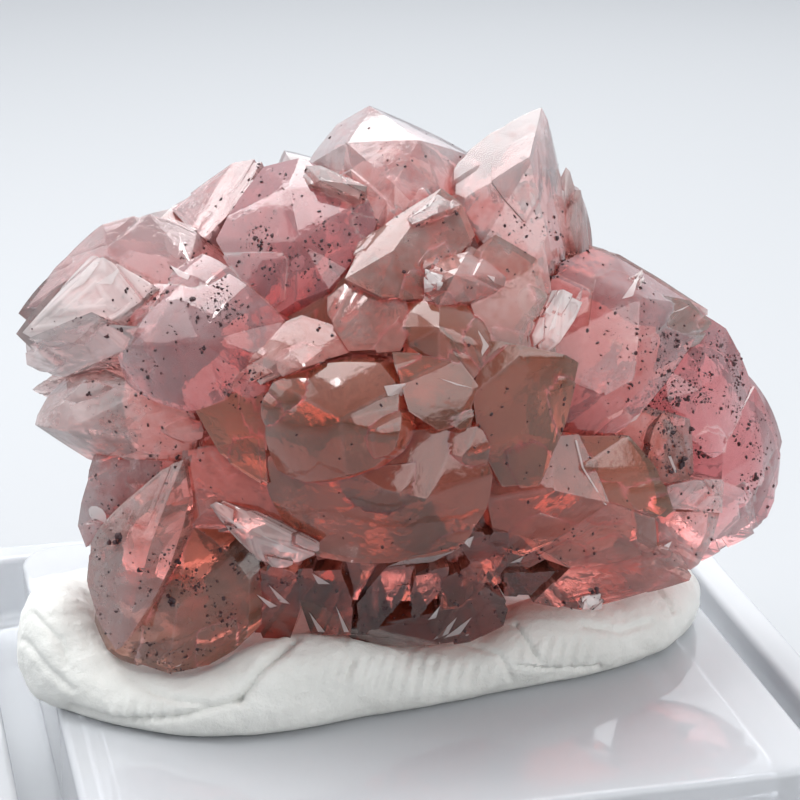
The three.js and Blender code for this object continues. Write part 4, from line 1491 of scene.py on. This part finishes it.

# %% [markdown]
# The largest dark patches are heaps of grains. Each is placed where the viewer sees it, and is
# built of a few ragged balls that crowd round its middle.

# %% Clots placed one by one
# column, row, width and height as seen in millimetres, turn in degrees
CLOTS = [
    (193, 299, 0.22, 0.34, 0), (203, 347, 0.2, 0.26, 20), (197, 322, 0.12, 0.4, 5),
    (129, 320, 0.14, 0.12, 0), (120, 541, 0.5, 0.36, 10), (141, 571, 0.22, 0.18, 0),
    (173, 602, 0.42, 0.3, -20), (199, 584, 0.2, 0.16, 0), (96, 477, 0.16, 0.2, 0),
    (90, 394, 0.2, 0.16, 0), (239, 263, 0.2, 0.22, 0), (262, 247, 0.16, 0.3, 10),
    (298, 255, 0.14, 0.14, 0), (275, 265, 0.12, 0.12, 0), (287, 285, 0.14, 0.1, 0),
    (418, 225, 0.2, 0.12, 0), (508, 271, 0.16, 0.1, 0), (554, 277, 0.18, 0.12, 0),
    (562, 261, 0.14, 0.12, 0), (526, 237, 0.14, 0.1, 0), (629, 385, 0.22, 0.16, 0),
    (676, 342, 0.24, 0.3, 0), (664, 335, 0.3, 0.2, 0), (683, 400, 0.46, 0.34, 30),
    (733, 362, 0.34, 0.3, 0), (710, 375, 0.2, 0.16, 0), (673, 437, 0.3, 0.5, 20),
    (680, 462, 0.34, 0.6, -10), (668, 470, 0.2, 0.3, 0), (754, 478, 0.36, 0.24, 20),
    (690, 430, 0.2, 0.3, 0), (593, 592, 0.26, 0.34, 0), (556, 236, 0.22, 0.3, 30),
    (740, 400, 0.2, 0.16, 0), (720, 410, 0.22, 0.16, 30), (700, 452, 0.16, 0.24, 0),
    (178, 585, 0.16, 0.16, 0), (150, 590, 0.14, 0.16, 0), (214, 606, 0.16, 0.12, 0),
    (456, 640, 0.2, 0.1, 0),
]
LUMPS_IN_CLOT = 7
CLOT_SINK = 0.02
CLOT_SCATTER = 0.3
LUMP_SIZES = (0.12, 0.3)
LUMP_STRETCH = (0.7, 1.3)
RAGGED, RAGGED_SIZE = 0.3, 0.7
BALL_SPLITS = 2


def ball():
    """Points and faces of a ball of radius 1."""
    shell = bmesh.new()
    bmesh.ops.create_icosphere(shell, subdivisions=BALL_SPLITS, radius=1.0)
    points = np.array([vertex.co[:] for vertex in shell.verts])
    faces = [tuple(vertex.index for vertex in face.verts) for face in shell.faces]
    shell.free()
    return points, faces


def clot_piece(name, marks, tree, finish, seed):
    """Small heaps of ragged lumps, partly sunk in a surface. A mark that meets no crystal is left out."""
    draw = np.random.default_rng(seed)
    unit, unit_faces = ball()
    across = np.array([1.0, 0, 0])
    points, faces = [], []
    for column, row, width, height, turn in marks:
        place, normal = seen_on(tree, column, row)
        if place is None:
            continue
        lean = math.radians(turn)
        for _ in range(LUMPS_IN_CLOT):
            right, up = draw.normal(0, CLOT_SCATTER, 2) * (width, height)
            shift = across * (right * math.cos(lean) - up * math.sin(lean))
            shift = shift + VIEW_UP * (right * math.sin(lean) + up * math.cos(lean))
            size = draw.uniform(*LUMP_SIZES) * math.sqrt(width * height)
            ragged = unit * (1 + RAGGED * lumpy(unit + draw.uniform(0, 50, 3), RAGGED_SIZE))[:, None]
            middle = np.array(place) - np.array(normal) * CLOT_SINK + shift
            start = sum(len(part) for part in points)
            points.append(middle + ragged * size * draw.uniform(*LUMP_STRETCH, 3))
            faces += [tuple(start + i for i in face) for face in unit_faces]
    piece = new_piece(name, np.concatenate(points), faces)
    piece.data.materials.append(finish)
    return piece


clots = clot_piece("sealed_clots", CLOTS, cluster_tree, dark, seed=7)
print("clots:", len(clots.data.polygons), "faces")

# %% [markdown]
# Here and there a cleavage face throws the light back whole, as a white sliver. These are painted glints:
# each one is a thin plate of pale veil whose corners are pressed onto the crystal's surface, so it follows
# the face that it lies on.

# %% Painted glints
# the columns and rows at which the corners of each flake are seen
GLINT_FLAKES = [
    [(167, 216), (197, 228), (193, 232), (166, 220)],
    [(170, 265), (190, 275), (188, 280), (178, 276)],
    [(439, 378), (472, 388), (456, 385)],
    [(384, 386), (406, 383), (402, 396), (388, 396)],
    [(427, 271), (443, 276), (441, 283), (428, 284)],
    [(487, 275), (495, 277), (494, 282)],
    [(622, 299), (640, 273), (633, 296)],
    [(386, 567), (413, 556), (456, 550), (433, 562)],
    [(586, 597), (600, 593), (599, 604), (588, 606)],
    [(256, 594), (277, 606), (270, 608)],
    [(268, 584), (290, 604), (280, 602)],
    [(575, 440), (577, 440), (584, 468), (582, 468)],
    [(582, 468), (584, 468), (607, 505), (605, 505)],
    [(668, 456), (671, 456), (677, 472), (675, 473)],
    [(309, 612), (325, 632), (318, 632)],
    [(312, 573), (330, 584), (318, 584)],
    [(336, 606), (349, 632), (344, 632)],
    [(433, 640), (457, 617), (448, 634)],
    [(444, 638), (472, 617), (460, 634)],
    [(606, 433), (641, 413), (636, 420)],
    [(661, 402), (672, 384), (668, 398)],
    [(478, 330), (489, 346), (482, 356), (484, 342)],
    [(411, 217), (437, 195), (430, 206)],
    [(545, 312), (556, 294), (551, 316)],
    [(549, 330), (560, 300), (555, 328)],
    [(671, 313), (690, 305), (682, 310)],
    [(262, 535), (300, 553), (280, 552)],
    [(225, 516), (250, 530), (238, 528)],
    [(70, 290), (92, 262), (100, 262), (84, 284)],
    [(96, 284), (120, 268), (112, 284)],
    [(428, 620), (440, 606), (436, 618)],
    [(510, 563), (524, 556), (520, 562)],
    [(462, 541), (474, 536), (470, 548)],
    [(575, 300), (583, 286), (581, 300)],
    [(660, 548), (672, 541), (668, 550)],
]
FLAKE_THICKNESS = 0.05
WELD_DISTANCE = 1e-5


def glint_flake_piece(name, outlines, tree, finish):
    """Thin plates, painted glints, that follow the surface between the corners at which they are seen."""
    points, faces = [], []
    for outline in outlines:
        met = [seen_on(tree, *corner) for corner in outline]
        lift = np.array(view_ray(*outline[0])) * FLAKE_THICKNESS
        near = np.array([place for place, _ in met if place])
        if len(near) < 3:
            continue
        solid = hull_triangles(np.concatenate([near - lift, near + lift]))
        for triangle in solid:
            start = len(points)
            points += list(triangle)
            faces.append((start, start + 1, start + 2))
    piece = new_piece(name, points, faces)
    weld = piece.modifiers.new("weld", "WELD")
    weld.merge_threshold = WELD_DISTANCE
    evaluated(piece)
    piece.data.materials.append(finish)
    return piece


glint_flakes = glint_flake_piece("painted_glint_flakes", GLINT_FLAKES, cluster_tree, pale)
print("flakes:", len(glint_flakes.data.polygons), "faces")
seated(cluster, "smithsonite_cluster", crease_degrees=20)
for piece in (specks, flaws, clots, glint_flakes):
    seated(piece, None, crease_degrees=30)

# %% [markdown]
# ## Floor and light
#
# A specimen is shown on a pale sheet under soft light from above and behind, so that the clear crystal
# glows at its edges. The world is brighter behind than in front, and gives the even fill. A broad panel
# overhead gives the modelling, a rim lamp on the left and a fill lamp in front open the shadows, one low
# lamp puts a sheen on the deck, and a small one the bright glints.

# %% Floor
FLOOR_HALF = 3.0


def floor_piece():
    """A pale sheet, far wider than the view."""
    corners = [(x * FLOOR_HALF, y * FLOOR_HALF, 0) for x, y in ((-1, -1), (1, -1), (1, 1), (-1, 1))]
    floor = new_piece("floor", corners, [(0, 1, 2, 3)])
    made, _, shader, _ = material("pale_sheet")
    give(shader, Base_Color=(0.44, 0.45, 0.462, 1), Roughness=0.7)
    floor.data.materials.append(made)


floor_piece()
print("floor:", 2 * FLOOR_HALF, "m square")


# %% Light
def soft_lamp(name, place_mm, target_mm, size_mm, power):
    """A rectangular lamp, aimed at a point of the specimen's frame."""
    data = bpy.data.lights.new(name, "AREA")
    data.shape = "RECTANGLE"
    data.size, data.size_y = size_mm[0] * MM, size_mm[1] * MM
    data.energy = power
    lamp = bpy.data.objects.new(name, data)
    bpy.context.scene.collection.objects.link(lamp)
    lamp.location = seat @ Vector(place_mm)
    aim = seat @ Vector(target_mm) - lamp.location
    lamp.rotation_euler = aim.to_track_quat("-Z", "Y").to_euler()


def pale_world():
    """Even light from all round, brightest behind and above."""
    world = bpy.data.worlds.new("pale_room")
    world.use_nodes = True
    tree = world.node_tree
    sky = tree.nodes["Background"]
    give(sky, Color=(0.90, 0.94, 1.0, 1))
    place = node(tree, "ShaderNodeTexCoord")
    towards = node(tree, "ShaderNodeVectorMath", operation="DOT_PRODUCT")
    towards.inputs[1].default_value = (0.15, 0.88, 0.45)
    tree.links.new(place.outputs["Generated"], towards.inputs[0])
    bright = node(tree, "ShaderNodeMapRange")
    give(bright, From_Min=-0.5, From_Max=0.95, To_Min=0.32, To_Max=1.25)
    tree.links.new(towards.outputs["Value"], bright.inputs["Value"])
    tree.links.new(bright.outputs["Result"], sky.inputs["Strength"])
    bpy.context.scene.world = world


pale_world()
soft_lamp("sky_panel", (-30, 50, 150), (0, 0, 8), (150, 150), 0.28)
soft_lamp("left_rim", (-120, 10, 80), (-4, 0, 10), (110, 110), 0.05)
soft_lamp("front_fill", (115, -125, 80), (0, 0, 8), (230, 110), 0.175)
soft_lamp("deck_sheen", (34, 146, 69), (13, 1, 0), (110, 70), 0.022)
soft_lamp("glints", (-40, -30, 130), (0, 0, 8), (16, 16), 0.012)

light_paths = bpy.context.scene.cycles
light_paths.max_bounces = 4
light_paths.transmission_bounces = 4
light_paths.glossy_bounces = 2
light_paths.diffuse_bounces = 2
bpy.context.scene.view_settings.view_transform = "Standard"
print("lamps:", len(bpy.data.lights))
